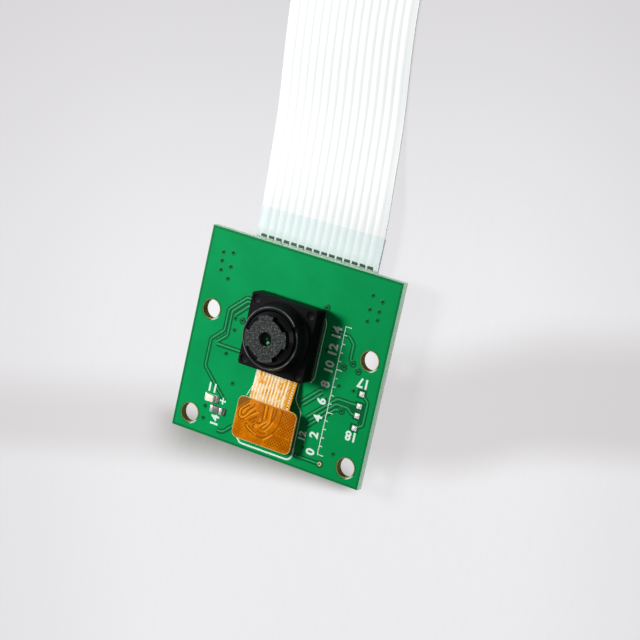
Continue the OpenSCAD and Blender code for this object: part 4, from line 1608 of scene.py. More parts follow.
@dataclass
class BoardArtwork:
    """What is etched and printed on one face: tracks, vias, ink lines and plain numbers."""

    name: str
    z: float
    side: Side
    tracks: Sequence[Sequence[Point]]
    vias: Sequence[Point] = ()
    rings: Sequence[Point] = ()
    ink_lines: Sequence[Sequence[Point]] = ()
    bold_lines: Sequence[Sequence[Point]] = ()
    numbers: Sequence[tuple[str, float, float, float, float]] = ()
    track_w: float = 0.2
    gap_w: float = 0.58
    corner: float = 0.18
    gap_h: float = 0.006
    track_z: float = 0.003
    track_h: float = 0.012
    thin_w: float = 0.1
    bold_w: float = 0.2
    ink_z: float = 0.004
    ink_h: float = 0.016
    ink_bend: float = 0.3
    figure_z: float = 0.012
    figure_h: float = 0.01
    figure_bold: float = 0.034

    def laid(self, piece: Piece) -> Piece:
        """Turns a piece made for the front over to the face that it belongs to."""
        if self.side is Side.BACK:
            piece.data.transform(moved(0, 0, self.z) @ turned(x=180))
            Bench.tidy(piece)
        else:
            piece.data.transform(moved(0, 0, self.z))
        return piece

    def flipped(self, run: Sequence[Point]) -> list[Point]:
        """A run as it has to be drawn, so that turning it over brings it to its place."""
        return [(x, y * self.side) for x, y in run]

    def build_tracks(self) -> None:
        """Each track is a low light ridge in a slightly wider, darker gap."""
        runs = [rounded(self.flipped(run), self.corner) for run in self.tracks]
        gaps = self.laid(ribbons(f"{self.name}_gaps", runs, self.gap_w, 0, self.gap_h))
        settle(gaps, [MASKED_GAP])
        tracks = ribbons(f"{self.name}_tracks", runs, self.track_w, self.track_z, self.track_h)
        tracks = self.laid(tracks)
        settle(tracks, [MaskedCopper("mask_over_track", paint(34, 164, 102), mottle=0.12)])

    def via(self, radius: float, rim: float, height: float) -> Piece:
        """A filled via as a low ring round a dimple.

        Args:
            radius: Outer radius in millimetres.
            rim: Width of the ring in millimetres.
            height: Height of the ring over the board in millimetres.

        Returns:
            The via at the origin.
        """
        via = Bench.disc("via", at(0, 0), radius * MM, 20)
        Bench.edit(via, whole=True)
        Bench.raise_up(height, 0.86)
        Bench.set_in(rim)
        Bench.set_in(rim * 0.6, -height * 1.2)
        Bench.close()
        Bench.smooth(via, 50)
        return via

    def scatter(self, name: str, pattern: Piece, places: Sequence[Point], finish: Finish) -> None:
        """Copies a pattern to each place, joins the copies and drops the pattern.

        Args:
            name: The joined piece's name.
            pattern: The pattern, modelled at the origin.
            places: Where the copies go, as seen from the front.
            finish: Their finish.
        """
        if places:
            copies = [Bench.copy(pattern, name, moved(x, y * self.side, 0.001)) for x, y in places]
            settle(self.laid(Bench.join(name, copies)), [finish])
        Bench.drop(pattern)

    def build_vias(self) -> None:
        """Small dark vias, and larger ringed ones."""
        halo = MaskedCopper("mask_round_via", paint(3, 122, 62), 0.3, 0.4)
        self.scatter(f"{self.name}_via_rings", self.via(0.3, 0.08, 0.008), self.vias, halo)
        dark = MaskedCopper("mask_over_via", paint(2, 44, 18), 0.5, 0.6)
        self.scatter(f"{self.name}_vias", self.via(0.13, 0.03, 0.014), self.vias, dark)
        ring = MaskedCopper("mask_over_ring", paint(1, 98, 52), 0.34)
        self.scatter(f"{self.name}_rings", self.via(0.44, 0.14, 0.03), self.rings, ring)
        middle = MaskedCopper("mask_in_ring", paint(16, 146, 86), 0.24)
        self.scatter(f"{self.name}_ring_middles", self.via(0.2, 0.05, 0.04), self.rings, middle)

    def build_ink(self) -> None:
        """Thin and bold ink lines, and the numbers."""
        for part, runs, width in (
            ("thin", self.ink_lines, self.thin_w), ("bold", self.bold_lines, self.bold_w)
        ):
            if runs:
                drawn = [rounded(self.flipped(run), self.ink_bend, 4) for run in runs]
                ink = ribbons(f"{self.name}_{part}_ink", drawn, width, self.ink_z, self.ink_h)
                settle(self.laid(ink), [Ink()])
        figures = []
        for body, x, y, size, turn in self.numbers:
            Bench.clear()
            bpy.ops.object.text_add(
                location=at(x, y * self.side, self.figure_z), rotation=(0, 0, radians(turn * self.side))
            )
            figure = bpy.context.object
            figure.data.body = body
            figure.data.size = size * MM
            figure.data.align_x = "CENTER"
            figure.data.align_y = "CENTER"
            figure.data.extrude = self.figure_h * MM
            figure.data.offset = self.figure_bold * size * MM
            figure.data.resolution_u = 3
            bpy.ops.object.convert(target="MESH")
            figures.append(Bench.added("figure"))
        if figures:
            text = Bench.join(f"{self.name}_numbers", figures)
            Bench.tidy(text, 0.0002)
            settle(self.laid(text), [Ink()])

    def build(self) -> None:
        """Etches, drills and prints the face."""
        self.build_tracks()
        self.build_vias()
        self.build_ink()


@dataclass
class Board:
    """The board itself: laminate with its mask, the holes' bare rims and the unfitted pads."""

    half_w: float = 12.5
    low_y: float = -8.25
    high_y: float = 15.75
    thickness: float = -BACK_Z
    hole_x: float = HOLES[0]
    hole_y: float = HOLES[1]
    hole_r: float = 1.1
    rim_w: float = 0.2
    lip_w: float = 0.04
    lip_h: float = 0.025
    lip_fall: float = 0.02
    wall_w: float = 0.012
    wall_drop: float = 0.1
    offset_y: float = MIDDLE_Y
    margin: float = 0.17
    margin_w: float = 0.32
    margin_h: float = 0.006
    clearance: tuple[float, float, float, float] = (0.6, 0.54, 0.56, 0.52)
    clearance_h: float = 0.008
    crown_x: float = 0.27
    crown_y: float = 0.26
    pads: tuple[Point, ...] = ((10.5, 2.4), (10.5, 1.0), (10.5, -0.12), (10.5, -1.58))
    voids: tuple[tuple[float, float, float, float], ...] = (
        (10.7, -1.0, 11.3, 1.5), (9.3, 0.0, 10.3, 0.95)
    )

    def build_rims(self) -> None:
        """A narrow ring round each hole on both faces, sloped down into the hole."""
        rings = []
        spots = product(Side, (-self.hole_x, self.hole_x), (-self.hole_y, self.hole_y))
        for side, x, y in spots:
            z = 0.0 if side is Side.FRONT else -self.thickness
            ring = Bench.disc("rim", at(x, y, z), (self.hole_r + self.rim_w) * MM, 48)
            Bench.edit(ring, whole=True)
            Bench.set_in(self.lip_w, self.lip_h * side)
            Bench.set_in(self.rim_w - self.lip_w, -self.lip_fall * side)
            Bench.set_in(self.wall_w, -self.wall_drop * side)
            bpy.ops.mesh.delete(type="ONLY_FACE")
            Bench.close()
            if side is Side.BACK:
                Bench.flip(ring)
            Bench.smooth(ring, 50)
            rings.append(ring)
        rims = Bench.join("hole_rims", rings)
        settle(rims, [HoleRim()])

    def build_pads(self) -> None:
        """A dark clearance round each unfitted pad, and a low crown of solder on it."""
        clear, crowns = [], []
        left, down, right, up = self.clearance
        for x, y in self.pads:
            low, high = at(x - left, y - down, 0), at(x + right, y + up, self.clearance_h)
            gap = Bench.block("clearance", low, high)
            Bench.modify(gap, "BEVEL", width=0.09 * MM, segments=3, affect="EDGES")
            clear.append(gap)
            low = at(x - self.crown_x, y - self.crown_y, 0.02)
            high = at(x + self.crown_x, y + self.crown_y, 0.05)
            crown = Bench.block("crown", low, high)
            Bench.edit(crown)
            Bench.pick(lambda f: f.normal.z > 0.9)
            Bench.set_in(0.08, 0.05)
            Bench.close()
            Bench.modify(crown, "SUBSURF", levels=2, render_levels=2)
            Bench.smooth(crown, 60)
            crowns.append(crown)
        for low_x, low_y, high_x, high_y in self.voids:
            void = Bench.block("clearance", at(low_x, low_y, 0), at(high_x, high_y, 0.004))
            Bench.modify(void, "BEVEL", width=0.15 * MM, segments=3, affect="EDGES")
            clear.append(void)
        settle(Bench.join("pad_clearances", clear), [MASKED_GAP])
        settle(Bench.join("pad_crowns", crowns), [SOLDER])

    def front(self) -> BoardArtwork:
        """The artwork of the front, as read from the board's own middle.

        Returns:
            The artwork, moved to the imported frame.
        """
        down = [
            [(-5.6, 5.05), (-6.2, 5.05), (-8.25, 3.1), (-8.25, 0.6), (-9.75, -0.85), (-9.75, -4.1),
             (-8.3, -5.5), (-6.35, -7.3)],
            [(-5.6, 4.65), (-6.05, 4.65), (-7.75, 3.0), (-7.75, 0.1), (-8.95, -0.98)],
            [(-5.6, 4.2), (-5.8, 4.15), (-7.3, 2.65)], [(-8.9, -1.2), (-5.6, -1.2)],
            [(3.2, -4.5), (5.3, -2.45), (5.6, -2.4)], [(3.6, -4.75), (5.75, -2.65)],
            [(5.0, 4.45), (7.45, 4.45), (8.17, 3.75), (8.17, 2.0), (8.55, 1.68)],
            [(10.5, -1.3), (11.42, -2.1), (11.42, -4.75), (10.6, -5.3)],
            [(10.2, -2.75), (7.75, -2.75), (7.3, -3.1), (4.4, -5.9)],
            [(10.2, -3.87), (9.75, -3.87), (9.2, -3.38), (7.65, -3.38), (4.7, -6.3)],
            [(8.4, -3.95), (7.75, -3.95), (4.6, -7.0)], [(3.7, -10.6), (7.1, -10.6)],
            [(-4.6, -9.8), (-5.5, -10.7), (-5.9, -10.95), (-6.5, -10.9)],
        ]
        vias = [
            (-10.48, 9.27), (-9.22, 9.5), (-10.45, 8.27), (-9.18, 7.87), (-10.35, 7.2), (-9.22, 6.45),
            (9.17, 9.68), (10.47, 9.3), (9.15, 8.08), (10.33, 8.13), (9.15, 6.73), (10.35, 7.15),
            (7.5, -1.3), (9.4, -1.3), (6.28, -3.25), (-6.97, 0.97), (-7.4, -1.95), (-5.77, -5.07),
            (-8.65, -8.63), (-8.6, -10.07), (8.65, -8.98), (4.78, -9.4), (5.07, 2.15), (-7.15, 2.3),
        ]
        rings = [(3.98, 6.78), (7.6, 0.9), (9.43, 0.95), (8.6, 1.6), (8.5, -3.95), (-6.2, 2.3)]
        thin = [
            [(3.95, 5.65), (4.32, 5.1), (4.32, -1.4), (3.95, -2.0)],
            [(-3.0, -2.2), (-3.1, -4.5), (-3.65, -5.8)],
            [(2.6, -2.2), (2.6, -4.5), (3.1, -5.1), (3.6, -5.6), (3.65, -9.9)],
        ]
        bold = [
            [(3.65, -9.9), (3.65, -10.95), (3.2, -11.42), (-3.25, -11.42), (-3.75, -10.9)],
            [(-6.9, -7.42), (-6.1, -7.42)], [(-6.5, -7.02), (-6.5, -7.82)],
        ]
        scale_x, scale_low, scale_long = 6.75, -9.6, 15
        thin.append([(scale_x, scale_low), (scale_x, scale_low + scale_long)])
        thin.extend(
            [(scale_x, scale_low + i), (scale_x + (0.75 if i % 5 == 0 else 0.38), scale_low + i)]
            for i in range(scale_long + 1)
        )
        numbers = [(str(i), 5.85, scale_low + i, 1.5, 90.0) for i in range(0, scale_long, 2)]
        numbers += [
            ("11", -8.2, -6.22, 1.4, 180.0), ("14", -7.0, -9.95, 1.4, 90.0),
            ("17", 10.4, -0.1, 1.5, 180.0), ("18", 10.35, -6.3, 1.5, 180.0), ("12", 4.4, -8.2, 1.2, 90.0),
        ]
        return BoardArtwork(
            "front", 0.0, Side.FRONT, [shifted(run, 0, self.offset_y) for run in down],
            shifted(vias, 0, self.offset_y), shifted(rings, 0, self.offset_y),
            [shifted(run, 0, self.offset_y) for run in thin],
            [shifted(run, 0, self.offset_y) for run in bold],
            [(body, x, y + self.offset_y, size, turn) for body, x, y, size, turn in numbers],
        )

    def back(self) -> BoardArtwork:
        """The artwork of the back: supply tracks, the ribbon's signal pairs and part outlines.

        Returns:
            The artwork, as seen through the board from the front.
        """
        tracks = []
        for i in range(15):
            x = i - 7.0
            reach = 7.6 - 0.16 * abs(x)
            tracks.append([(x, 9.0), (x, reach), (x * 0.9, reach - 0.6)])
        tracks += [
            [(5.4, 0.8), (5.4, 0.1), (8.7, 0.1), (8.7, -0.8)], [(2.4, 1.9), (2.4, -0.4)],
            [(-5.4, 4.3), (-5.4, 5.2), (-3.2, 5.2)], [(-7.6, 2.0), (-8.7, 1.8)],
            [(-5.4, -2.6), (-5.4, -0.2), (-8.7, -0.1)], [(-2.2, -3.4), (-0.4, -1.6), (-0.4, 0.0)],
            [(1.0, -5.9), (1.0, -4.6), (-0.6, -3.0)], [(3.4, -6.2), (3.4, -4.4), (5.4, -3.6)],
            [(6.2, -5.6), (8.7, -4.4), (8.7, -2.5)], [(-9.8, 4.0), (-9.8, -4.0), (-8.2, -5.6)],
            [(10.6, 3.6), (10.6, -3.2), (8.6, -5.2)],
        ]
        vias = [
            (-10.2, 12.6), (-10.2, 11.4), (-9.0, 8.0), (9.0, 8.0), (10.2, 12.6), (10.2, 11.4),
            (-9.8, 4.0), (-8.2, -5.6), (10.6, 3.6), (8.6, -5.2), (-0.6, -3.0), (0.6, -0.8),
            (-7.4, -1.95), (-6.97, 4.72), (4.0, -1.4), (7.1, 0.9), (-1.6, 4.2), (1.0, 3.4),
            (-3.6, 0.2), (0.8, -3.9), (4.2, -4.9), (-3.8, -6.9), (-7.6, -6.6), (8.2, -7.0),
        ]
        boxes = [
            (5.4, 2.7, 1.6, 2.2), (5.4, -2.0, 1.6, 2.2), (-5.4, -3.9, 2.2, 1.6), (-5.4, 2.4, 1.7, 2.05),
        ]
        outlines = []
        for x, y, half_x, half_y in boxes:
            for sx in (-1, 1):
                for sy in (-1, 1):
                    cx, cy = x + sx * half_x, y + sy * half_y
                    outlines.append([(cx - sx * 0.6, cy), (cx, cy), (cx, cy - sy * 0.6)])
        numbers = [
            ("1", 8.1, 8.6, 1.0, 0.0), ("15", -8.3, 8.6, 1.0, 0.0), ("1", 7.5, 4.4, 0.9, 0.0),
            ("2", 7.5, -0.6, 0.9, 0.0), ("3", -2.4, -2.4, 0.9, 0.0), ("4", -8.0, 4.6, 0.9, 0.0),
        ]
        return BoardArtwork("back", -self.thickness, Side.BACK, tracks, vias, (), outlines, (), numbers)

    def build_margin(self) -> None:
        """The copper stops short of the board's edges: a darker line runs just inside them."""
        x, low, high = self.half_w - self.margin, self.low_y + self.margin, self.high_y - self.margin
        for side, z in ((Side.FRONT, 0.0), (Side.BACK, -self.thickness)):
            run = [(-x, low), (x, low), (x, high), (-x, high)]
            name = f"margin_{side.name.lower()}"
            line = ribbons(name, [run], self.margin_w, 0, self.margin_h, closed=True)
            line.data.transform(moved(0, 0, z))
            settle(line, [MaskedCopper("mask_over_margin", paint(2, 122, 64))])

    def build(self) -> None:
        """Dresses the laminate and both faces."""
        dress(SolderMask(), "board")
        dress(SOLDER, "bare_pads")
        self.build_rims()
        self.build_margin()
        self.build_pads()
        self.front().build()
        self.back().build()
        self.build_test_via()

    def build_test_via(self) -> None:
        """One gilt via on the front: a bright ring round a hole painted dark as its shade, in a dark halo.
        """
        x, y = 7.27, -10.6 + self.offset_y
        halo = MaskedCopper("mask_round_gilt_via", paint(2, 88, 44), 0.4)
        # Painted shade: the dark disc in the middle stands for the open hole.
        bore_shade = MaskedCopper("gilt_via_bore_shade", paint(14, 26, 8), 0.6)
        parts = (
            ("via_halo", 0.46, 0.008, halo, "board"), ("tinned_via", 0.27, 0.03, GILT, "tin"),
            ("via_bore", 0.11, 0.038, bore_shade, "board"),
        )
        for name, radius, height, finish, slot in parts:
            disc = Bench.disc(name, at(x, y, 0.001), radius * MM, 28)
            Bench.edit(disc, whole=True)
            Bench.raise_up(height, 0.9)
            Bench.set_in(radius * 0.3, -0.004)
            Bench.close()
            Bench.smooth(disc, 50)
            settle(disc, [finish])


@dataclass
class FlexTail:
    """The flex circuit: a pad under the lens head, a rising neck and a head on its connector."""

    neck_w: float = 5.3
    neck_high_y: float = 1.9
    neck_low_y: float = -1.9
    low_z: float = 0.45
    high_z: float = 1.0
    thickness: float = 0.12
    pad_w: float = 7.2
    pad_y: float = HEAD[1]
    tail_w: float = 7.7
    tail_l: float = 4.9
    tail_y: float = -4.35
    tail_r: float = 0.7
    plate_z: float = 1.3
    rail_pitch: float = 0.42
    rail_h: float = 0.014
    rails: int = 10
    rail_x: float = -2.15
    rail_foot: float = 0.15
    rail_top: float = 0.09
    crown: float = 0.05
    overlap: float = 0.5
    edge_r: float = 0.025
    track_bend: float = 0.4
    stitches: int = 12
    stitch_pitch: float = 0.3
    stitch_r: float = 0.085
    stitch_x: float = 2.36

    def height(self, y: float) -> float:
        """Height of the neck's underside at a place along it, in millimetres.

        Args:
            y: The place in millimetres.

        Returns:
            The height in millimetres.
        """
        t = (self.neck_high_y - y) / (self.neck_high_y - self.neck_low_y)
        t = min(max(t, 0.0), 1.0)
        return self.low_z + (self.high_z - self.low_z) * t * t * (3 - 2 * t)

    def build_neck(self) -> Piece:
        """A strip with low copper rails along it, a little crowned, given its thickness.

        Returns:
            The neck.
        """
        half = self.neck_w / 2
        columns = [(-half, 0.0)]
        foot, top = self.rail_foot, self.rail_top
        for i in range(self.rails):
            middle = self.rail_x + i * self.rail_pitch
            columns += [(middle - foot, 0), (middle - top, 1), (middle + top, 1), (middle + foot, 0)]
        columns.append((half, 0.0))
        rows = [self.neck_high_y + self.overlap - 0.2 * i for i in range(24)]
        Bench.clear()
        bpy.ops.mesh.primitive_grid_add(
            x_subdivisions=len(columns) - 1, y_subdivisions=len(rows) - 1, size=1
        )
        neck = Bench.added("flex_neck")
        for vertex in neck.data.vertices:
            x, raised = columns[vertex.index % len(columns)]
            y = rows[vertex.index // len(columns)]
            crown = self.crown * (1 - (x / half) ** 2)
            z = self.height(y) + self.thickness / 2 + crown + raised * self.rail_h
            vertex.co = at(x, y, z)
        Bench.turn_out(neck)
        if neck.data.polygons[0].normal.z < 0:
            Bench.flip(neck)
        Bench.modify(neck, "SOLIDIFY", thickness=self.thickness * MM, offset=0)
        return neck

    def slab(self, name: str, size: Size, y: float, z: float, radius: float) -> Piece:
        """A flat slab with round corners and slightly rounded edges.

        Args:
            name: The slab's name.
            size: Its width, length and thickness in millimetres.
            y: Its middle along Y in millimetres.
            z: Height of its underside in millimetres.
            radius: Radius of its corners in millimetres.

        Returns:
            The slab.
        """
        width, length, thickness = size
        low, high = at(-width / 2, y - length / 2, z), at(width / 2, y + length / 2, z + thickness)
        slab = Bench.block(name, low, high)
        Bench.edit(slab, Part.EDGE)
        upright = thickness * MM / 2
        Bench.pick(lambda e: abs(e.verts[0].co.z - e.verts[1].co.z) > upright, Part.EDGE)
        bpy.ops.mesh.bevel(offset=radius * MM, segments=8)
        Bench.close()
        sharp = radians(50)
        Bench.modify(
            slab, "BEVEL", width=self.edge_r * MM, segments=2, limit_method="ANGLE", angle_limit=sharp
        )
        return slab

    def build_tracks(self) -> None:
        """Tracks that show through the coverlay on the head, as low dark lines."""
        gaps = [
            [(1.95, -5.85), (1.95, -7.1), (1.7, -8.0), (1.2, -8.75), (0.6, -9.35), (0, -9.65),
             (-0.9, -9.6), (-1.8, -9.25), (-2.4, -8.95), (-2.35, -8.65), (-2.1, -8.55)],
            [(1.2, -5.85), (1.15, -6.7), (0.9, -7.5), (0.55, -8.2), (0.1, -8.7)],
            [(0.82, -5.85), (0.82, -7.55)], [(0.12, -5.85), (0.12, -7.4)],
            [(-0.38, -5.85), (-0.38, -7.4), (-0.3, -7.8), (-0.75, -8.2), (-1.05, -8.05)],
            [(0.3, -7.85), (-0.3, -8.4), (-0.4, -8.7)],
            [(-1.65, -6.1), (-1.8, -6.6), (-2.35, -7.0), (-2.6, -7.6), (-3.0, -7.9), (-3.2, -7.6),
             (-3.15, -7.25), (-2.3, -6.4)],
            [(-1.35, -6.8), (-2.4, -7.95), (-2.9, -8.35), (-3.4, -8.2), (-3.6, -7.7),
             (-3.5, -7.15), (-2.35, -6.0)],
            [(-1.05, -7.4), (-2.05, -8.2)], [(-1.2, -7.95), (-1.65, -8.3)],
            [(-1.2, -8.35), (-1.4, -8.6), (-1.25, -8.85)],
            [(-1.95, -8.75), (-1.4, -9.15), (-0.8, -9.35)], [(0.4, -9.0), (-0.2, -9.15), (-0.7, -9.0)],
        ]
        crests = [
            [(-0.13, -5.85), (-0.13, -7.4)], [(0.6, -5.9), (0.6, -7.6), (0.35, -8.05), (-0.1, -8.5)],
            [(0.3, -7.65), (-0.55, -8.4)], [(-0.95, -6.95), (-1.9, -7.55), (-2.55, -8.2)],
            [(-1.5, -6.55), (-2.1, -7.15), (-2.35, -7.6), (-2.85, -8.12), (-3.2, -8.12),
             (-3.42, -7.8), (-3.35, -7.15), (-2.15, -6.05)],
            [(-2.3, -6.7), (-2.85, -7.2), (-3.0, -7.55)], [(1.3, -8.85), (0.75, -9.45), (0.25, -9.85)],
            [(-1.05, -8.45), (-0.85, -8.42), (-0.8, -8.62), (-1.0, -8.72), (-1.1, -8.6)],
            [(-0.7, -7.55), (-0.5, -7.9)], [(1.1, -7.4), (0.7, -8.3), (0.2, -8.85)],
            [(-0.7, -9.55), (-1.5, -9.25), (-2.1, -8.9)],
        ]
        over_track = Polyimide("coverlay_over_track", paint(244, 156, 30), paint(230, 138, 14))
        for name, runs, width, finish in (
            ("tail_gaps", gaps, 0.16, TRACK_GAP), ("tail_crests", crests, 0.17, over_track)
        ):
            paths = [rounded(shifted(run, 0, MIDDLE_Y), self.track_bend, 4) for run in runs]
            settle(ribbons(name, paths, width, self.plate_z - 0.002, 0.01), [finish])

    def build_edge(self) -> None:
        """A pale bead that runs round the head's edge."""
        half_w, half_l, r = self.tail_w / 2, self.tail_l / 2, self.tail_r
        run = []
        x, y = half_w - r, half_l - r
        for cx, cy, start in ((x, y, 0), (-x, y, 90), (-x, -y, 180), (x, -y, 270)):
            for step in range(7):
                angle = radians(start + 15 * step)
                run.append((cx + r * cos(angle), self.tail_y + cy + r * sin(angle)))
        bead = ribbons("tail_bead", [run], 0.09, self.plate_z - 0.03, 0.034, closed=True)
        edge = Polyimide("coverlay_edge", paint(236, 206, 150), paint(214, 164, 84), 0.3, 0.2)
        settle(bead, [edge])

    def build_stitches(self) -> None:
        """A row of small stitching vias down the neck's right edge."""
        pattern = Bench.disc("stitch", at(0, 0), self.stitch_r * MM, 12)
        Bench.edit(pattern, whole=True)
        Bench.raise_up(0.012, 0.6)
        Bench.close()
        Bench.smooth(pattern, 60)
        copies = []
        for i in range(self.stitches):
            y = self.neck_high_y - 0.15 - self.stitch_pitch * i
            crown = self.crown * (1 - (self.stitch_x / (self.neck_w / 2)) ** 2)
            z = self.height(y) + self.thickness + crown - 0.002
            slope = atan2(self.height(y - 0.1) - self.height(y + 0.1), -0.2)
            tilt = pi - slope if slope > 1 else slope
            place = moved(self.stitch_x, y, z) @ Matrix.Rotation(tilt, 4, "X")
            copies.append(Bench.copy(pattern, "stitch", place))
        Bench.drop(pattern)
        settle(Bench.join("neck_stitches", copies), [TRACK_GAP])

    def build(self) -> None:
        """Builds the flex circuit, its head's plate and what shows through them."""
        neck = self.build_neck()
        pad_size = (self.pad_w, self.pad_w, self.thickness - 0.01)
        pad = self.slab("flex_pad", pad_size, self.pad_y, self.low_z + 0.005, 0.3)
        head_size = (self.tail_w, self.tail_l, self.thickness)
        head = self.slab("flex_head", head_size, self.tail_y, self.high_z, self.tail_r)
        sheet = Bench.join("flex_sheet", [neck, pad, head])
        Bench.smooth(sheet, 30)
        settle(sheet, [Polyimide("coverlay", rails=self.rail_pitch)])
        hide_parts("flex_tail")
        plate_size = (self.tail_w, self.tail_l, self.plate_z - self.high_z - self.thickness)
        plate = self.slab("tail_cover", plate_size, self.tail_y, self.high_z + self.thickness, self.tail_r)
        Bench.smooth(plate, 30)
        settle(plate, [TailTop()])
        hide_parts("tail_plate")
        self.build_tracks()
        self.build_edge()
        self.build_stitches()
        dress(DARK, "flex_plug", "receptacle")
        dress(GOLD, "plug_pins", "receptacle_pins")


@dataclass
class LensHead:
    """The lens head: a stack of thin layers, the moulded housing and the threaded barrel."""

    def build(self) -> None:
        """Rounds the moulded edges and dresses what is inside."""
        softened("lens_housing", "housing_shell", 0.05, HousingFinish())
        softened("lens_barrel", "barrel_shell", 0.025, BarrelFace())
        dress(Foam(), "foam_pad")
        dress(Plating("dark_plate", paint(52, 52, 54), paint(34, 34, 36), 0.45, 0.4), "head_plate")
        dress(CHIP_BLACK, "sensor_substrate")
        dress(INNER, "lens_baffles", "lens_retainer")
        dress(SENSOR, "image_sensor")
        dress(Glass("filter_glass", paint(150, 200, 214), paint(140, 170, 220)), "infrared_filter")
        dress(CoatedLens(), "front_lens")
        lens = Glass("lens_glass", paint(236, 246, 240), paint(150, 230, 180))
        dress(lens, "second_lens", "third_lens", "rear_lens")


@dataclass(frozen=True)
class Chip:
    """One ceramic chip part: its node, place, angle in degrees, size, kind and side of the board."""

    node: str
    x: float
    y: float
    angle: float
    size: Size
    kind: ChipKind
    side: Side = Side.BACK


@dataclass
class ChipParts:
    """All ceramic chip parts, each with rounded edges, plated ends and solder fillets."""

    back_z: float = BACK_Z
    end_share: float = 0.24
    inside: float = 0.03
    fillet: float = 0.15
    fillet_out: float = 0.04
    fillet_in: float = 0.02
    fillet_rise: float = 0.62
    chips: tuple[Chip, ...] = ()
    patterns: dict[tuple[ChipKind, Size], Piece] = field(default_factory=dict)

    def solder(self, size: tuple[float, float, float], side: int) -> Piece:
        """A concave fillet of solder from the board up one end of a chip.

        Args:
            size: The chip's length, width and height in millimetres.
            side: 1 for the end at +X and -1 for the other.

        Returns:
            The fillet of that end, with the chip's middle at the origin.
        """
        length, width, height = size
        low, high = length / 2 - self.fillet_in, length / 2 + self.fillet
        half = width / 2 + self.fillet_out
        piece = Bench.block("fillet", at(low, -half, 0), at(high, half, height * self.fillet_rise))
        Bench.edit(piece, whole=True)
        bpy.ops.mesh.subdivide(number_cuts=3)
        Bench.close()
        for vertex in piece.data.vertices:
            t = (vertex.co.x / MM - low) / (high - low)
            across = abs(vertex.co.y / MM) / half
            shape = max(1 - t, 0.0) ** 2.2 * (1 - 0.35 * across**4)
            vertex.co.z *= max(shape, 0.05)
            vertex.co.x -= 0.08 * MM * across**4 * t
        if side < 0:
            piece.data.transform(turned(z=180))
        Bench.smooth(piece, 60)
        return piece

    def pattern(self, kind: ChipKind, size: Size) -> Piece:
        """One chip standing on the origin, modelled once for its kind and size.

        Args:
            kind: What the chip is.
            size: Its length, width and height in millimetres.

        Returns:
            The chip with its body, two plated ends and their solder, as one piece.
        """
        if (kind, size) in self.patterns:
            return self.patterns[kind, size]
        length, width, height = size
        end = length * self.end_share
        half_l, half_w = length / 2 - end * 0.5, width / 2 - self.inside
        body = Bench.block("body", at(-half_l, -half_w, 0.02), at(half_l, half_w, height - self.inside))
        Bench.modify(body, "BEVEL", width=0.03 * MM, segments=2)
        Bench.smooth(body, 40)
        parts, finishes = [body], [0]
        for side in (-1, 1):
            x = sorted((side * length / 2, side * (length / 2 - end)))
            low, high = at(x[0], -width / 2, 0), at(x[1], width / 2, height)
            cap = plated_end(low, high, side, 0.08 * min(width, height), 0.015, 0.05, 3)
            parts += [cap, self.solder(size, side)]
            finishes += [1, 2]
        slots = [finish.material() for finish in (CHIP_BODIES[kind], TIN, SOLDER)]
        for part, index in zip(parts, finishes):
            for material in slots:
                part.data.materials.append(material)
            for face in part.data.polygons:
                face.material_index = index
        whole = Bench.join(f"{kind.name.lower()}_pattern", parts)
        self.patterns[kind, size] = whole
        return whole

    def build(self) -> None:
        """Copies each kind's pattern to its places."""
        for chip in self.chips:
            pattern = self.pattern(chip.kind, chip.size)
            on_back = chip.side is Side.BACK
            turn = turned(z=chip.angle) @ turned(x=180 if on_back else 0)
            place = moved(chip.x, chip.y, self.back_z if on_back else 0)
            piece = Bench.copy(pattern, f"{chip.node}_soldered", place @ turn)
            settle(piece, [CHIP_BODIES[chip.kind], TIN, SOLDER])
            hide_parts(chip.node)
        for pattern in self.patterns.values():
            Bench.drop(pattern)


@dataclass
class IndicatorLamp:
    """The small lamp: a ceramic base with plated ends under a clear block of resin."""

    x: float = -8.0
    y: float = -3.7
    length: float = 1.6
    width: float = 0.8
    base_h: float = 0.25
    end_l: float = 0.26
    proud: float = 0.01

    def build(self) -> None:
        """Builds the base, its plated ends, the resin and the solder."""
        half_l, half_w = self.length / 2, self.width / 2
        ends = []
        for side in (-1, 1):
            x = sorted((self.x + side * (half_l + self.proud), self.x + side * (half_l - self.end_l)))
            low_y, high_y = self.y - half_w - self.proud, self.y + half_w + self.proud
            low, high = at(x[0], low_y, 0.0), at(x[1], high_y, self.base_h + 0.02)
            ends.append(plated_end(low, high, side, 0.07, -0.03, 0.02, 2))
            toe = ChipParts().solder((self.length, self.width, self.base_h * 1.2), side)
            toe.data.transform(moved(self.x, self.y))
            ends.append(toe)
        settle(Bench.join("lamp_ends", ends), [SOLDER])
        body = Ceramic("lamp_body", paint(242, 240, 226), paint(222, 214, 190))
        softened("lamp_base", "lamp_body", 0.015, body)
        resin = Ceramic("lamp_resin", paint(255, 253, 238), paint(252, 246, 220), 0.2)
        softened("lamp_top", "lamp_window", 0.04, resin)


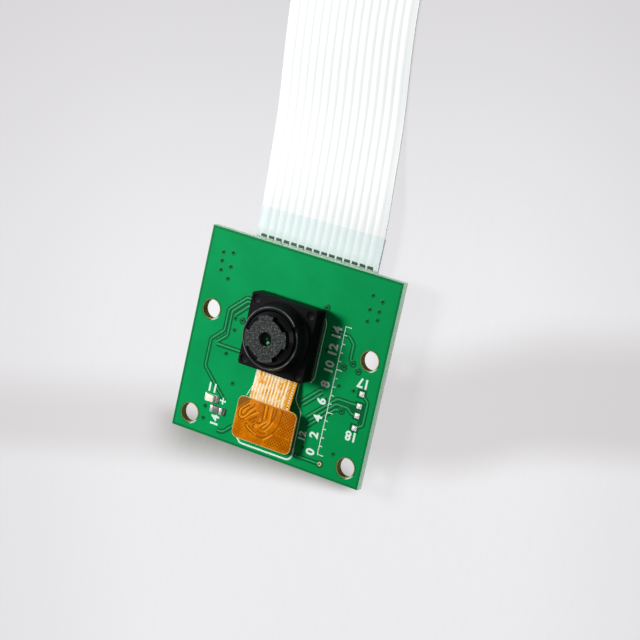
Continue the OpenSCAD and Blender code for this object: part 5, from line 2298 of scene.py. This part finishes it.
@dataclass
class RibbonConnector:
    """The connector on the back: a cream housing, forked contacts, solder tabs and a dark latch."""

    ways: int = 15
    pitch: float = 1.0
    rear_y: float = 9.89
    foot: float = 0.85
    half_w: float = 9.6
    back_z: float = BACK_Z
    toe_step: float = 0.22
    tab_out: float = 0.62
    tab_in: float = 0.55

    def build(self) -> None:
        """Rounds the mouldings, dresses the metal and solders the feet."""
        softened("ribbon_connector", "connector_housing", 0.05, CREAM)
        softened("connector_latch", "connector_slider", 0.06, DARK, Body.LATCH)
        dress(GOLD, "connector_contacts")
        dress(TIN, "connector_tabs")
        chips = ChipParts()
        toe = chips.solder((0.3, 0.42, 0.24), 1)
        toe.data.transform(turned(x=180, z=-90))
        foot_y = self.rear_y - self.foot + self.toe_step
        toes = [
            Bench.copy(toe, "toe", moved((i - (self.ways - 1) / 2) * self.pitch, foot_y, self.back_z))
            for i in range(self.ways)
        ]
        Bench.drop(toe)
        for side in (-1, 1):
            tab = chips.solder((0.5, 1.1, 0.3), side)
            tab_x, tab_y = side * (self.half_w + self.tab_out), self.rear_y + self.tab_in
            tab.data.transform(moved(tab_x, tab_y, self.back_z) @ turned(x=180))
            toes.append(tab)
        settle(Bench.join("connector_solder", toes), [SOLDER])


@dataclass
class PowerParts:
    """The regulators and the clock on the back."""

    def build(self) -> None:
        """Rounds the bodies and dresses their leads and lid."""
        for i in (1, 2, 3):
            softened(f"regulator_{i}", f"regulator_body_{i}", 0.04, CHIP_BLACK)
            dress(SOLDER, f"regulator_leads_{i}")
        tray = Ceramic("oscillator_ceramic", paint(168, 148, 116), paint(140, 122, 94))
        softened("oscillator_base", "oscillator_tray", 0.04, tray)
        softened("oscillator_lid", "oscillator_cover", 0.04, LID)


def chip_list() -> tuple[Chip, ...]:
    """Every chip part with its place, as the board carries it.

    Returns:
        The chips of the back in the order of their nodes, and the lamp's resistor on the front.
    """
    small, large = (1.0, 0.5, 0.5), (1.6, 0.8, 0.8)
    flat, wide = (1.0, 0.5, 0.35), (1.6, 0.8, 0.45)
    places = {
        ChipKind.CAPACITOR: (
            (8.7, 2.4, 90, large), (2.4, 3.2, 90, large), (8.7, -1.6, 90, small), (2.4, -1.4, 90, large),
            (-8.7, 0.9, 90, small), (-2.4, 2.9, 90, small), (-2.2, -4.6, 90, large), (1.0, -6.6, 0, small),
            (3.4, -6.6, 0, small),
        ),
        ChipKind.RESISTOR: (
            (-2.2, 5.7, 0, flat), (-0.2, 5.7, 0, flat), (-5.4, -6.8, 0, flat), (-0.4, 0.8, 90, flat),
        ),
        ChipKind.FERRITE: ((2.2, 5.6, 0, large), (6.2, -6.4, 0, large)),
    }
    chips = [
        Chip(f"{kind.name.lower()}_{i}", x, y, angle, size, kind)
        for kind, spots in places.items()
        for i, (x, y, angle, size) in enumerate(spots, 1)
    ]
    return (*chips, Chip("led_resistor", -6.95, -4.83, 0, wide, ChipKind.RESISTOR, Side.FRONT))


def main() -> None:
    """Builds the studio and every sub-assembly in order."""
    logging.basicConfig(level=logging.INFO, format="%(name)s %(message)s", force=True)
    Studio().build()
    RibbonCable().build()
    Board().build()
    LensHead().build()
    FlexTail().build()
    IndicatorLamp().build()
    ChipParts(chips=chip_list()).build()
    RibbonConnector().build()
    PowerParts().build()


if __name__ == "__main__":
    main()
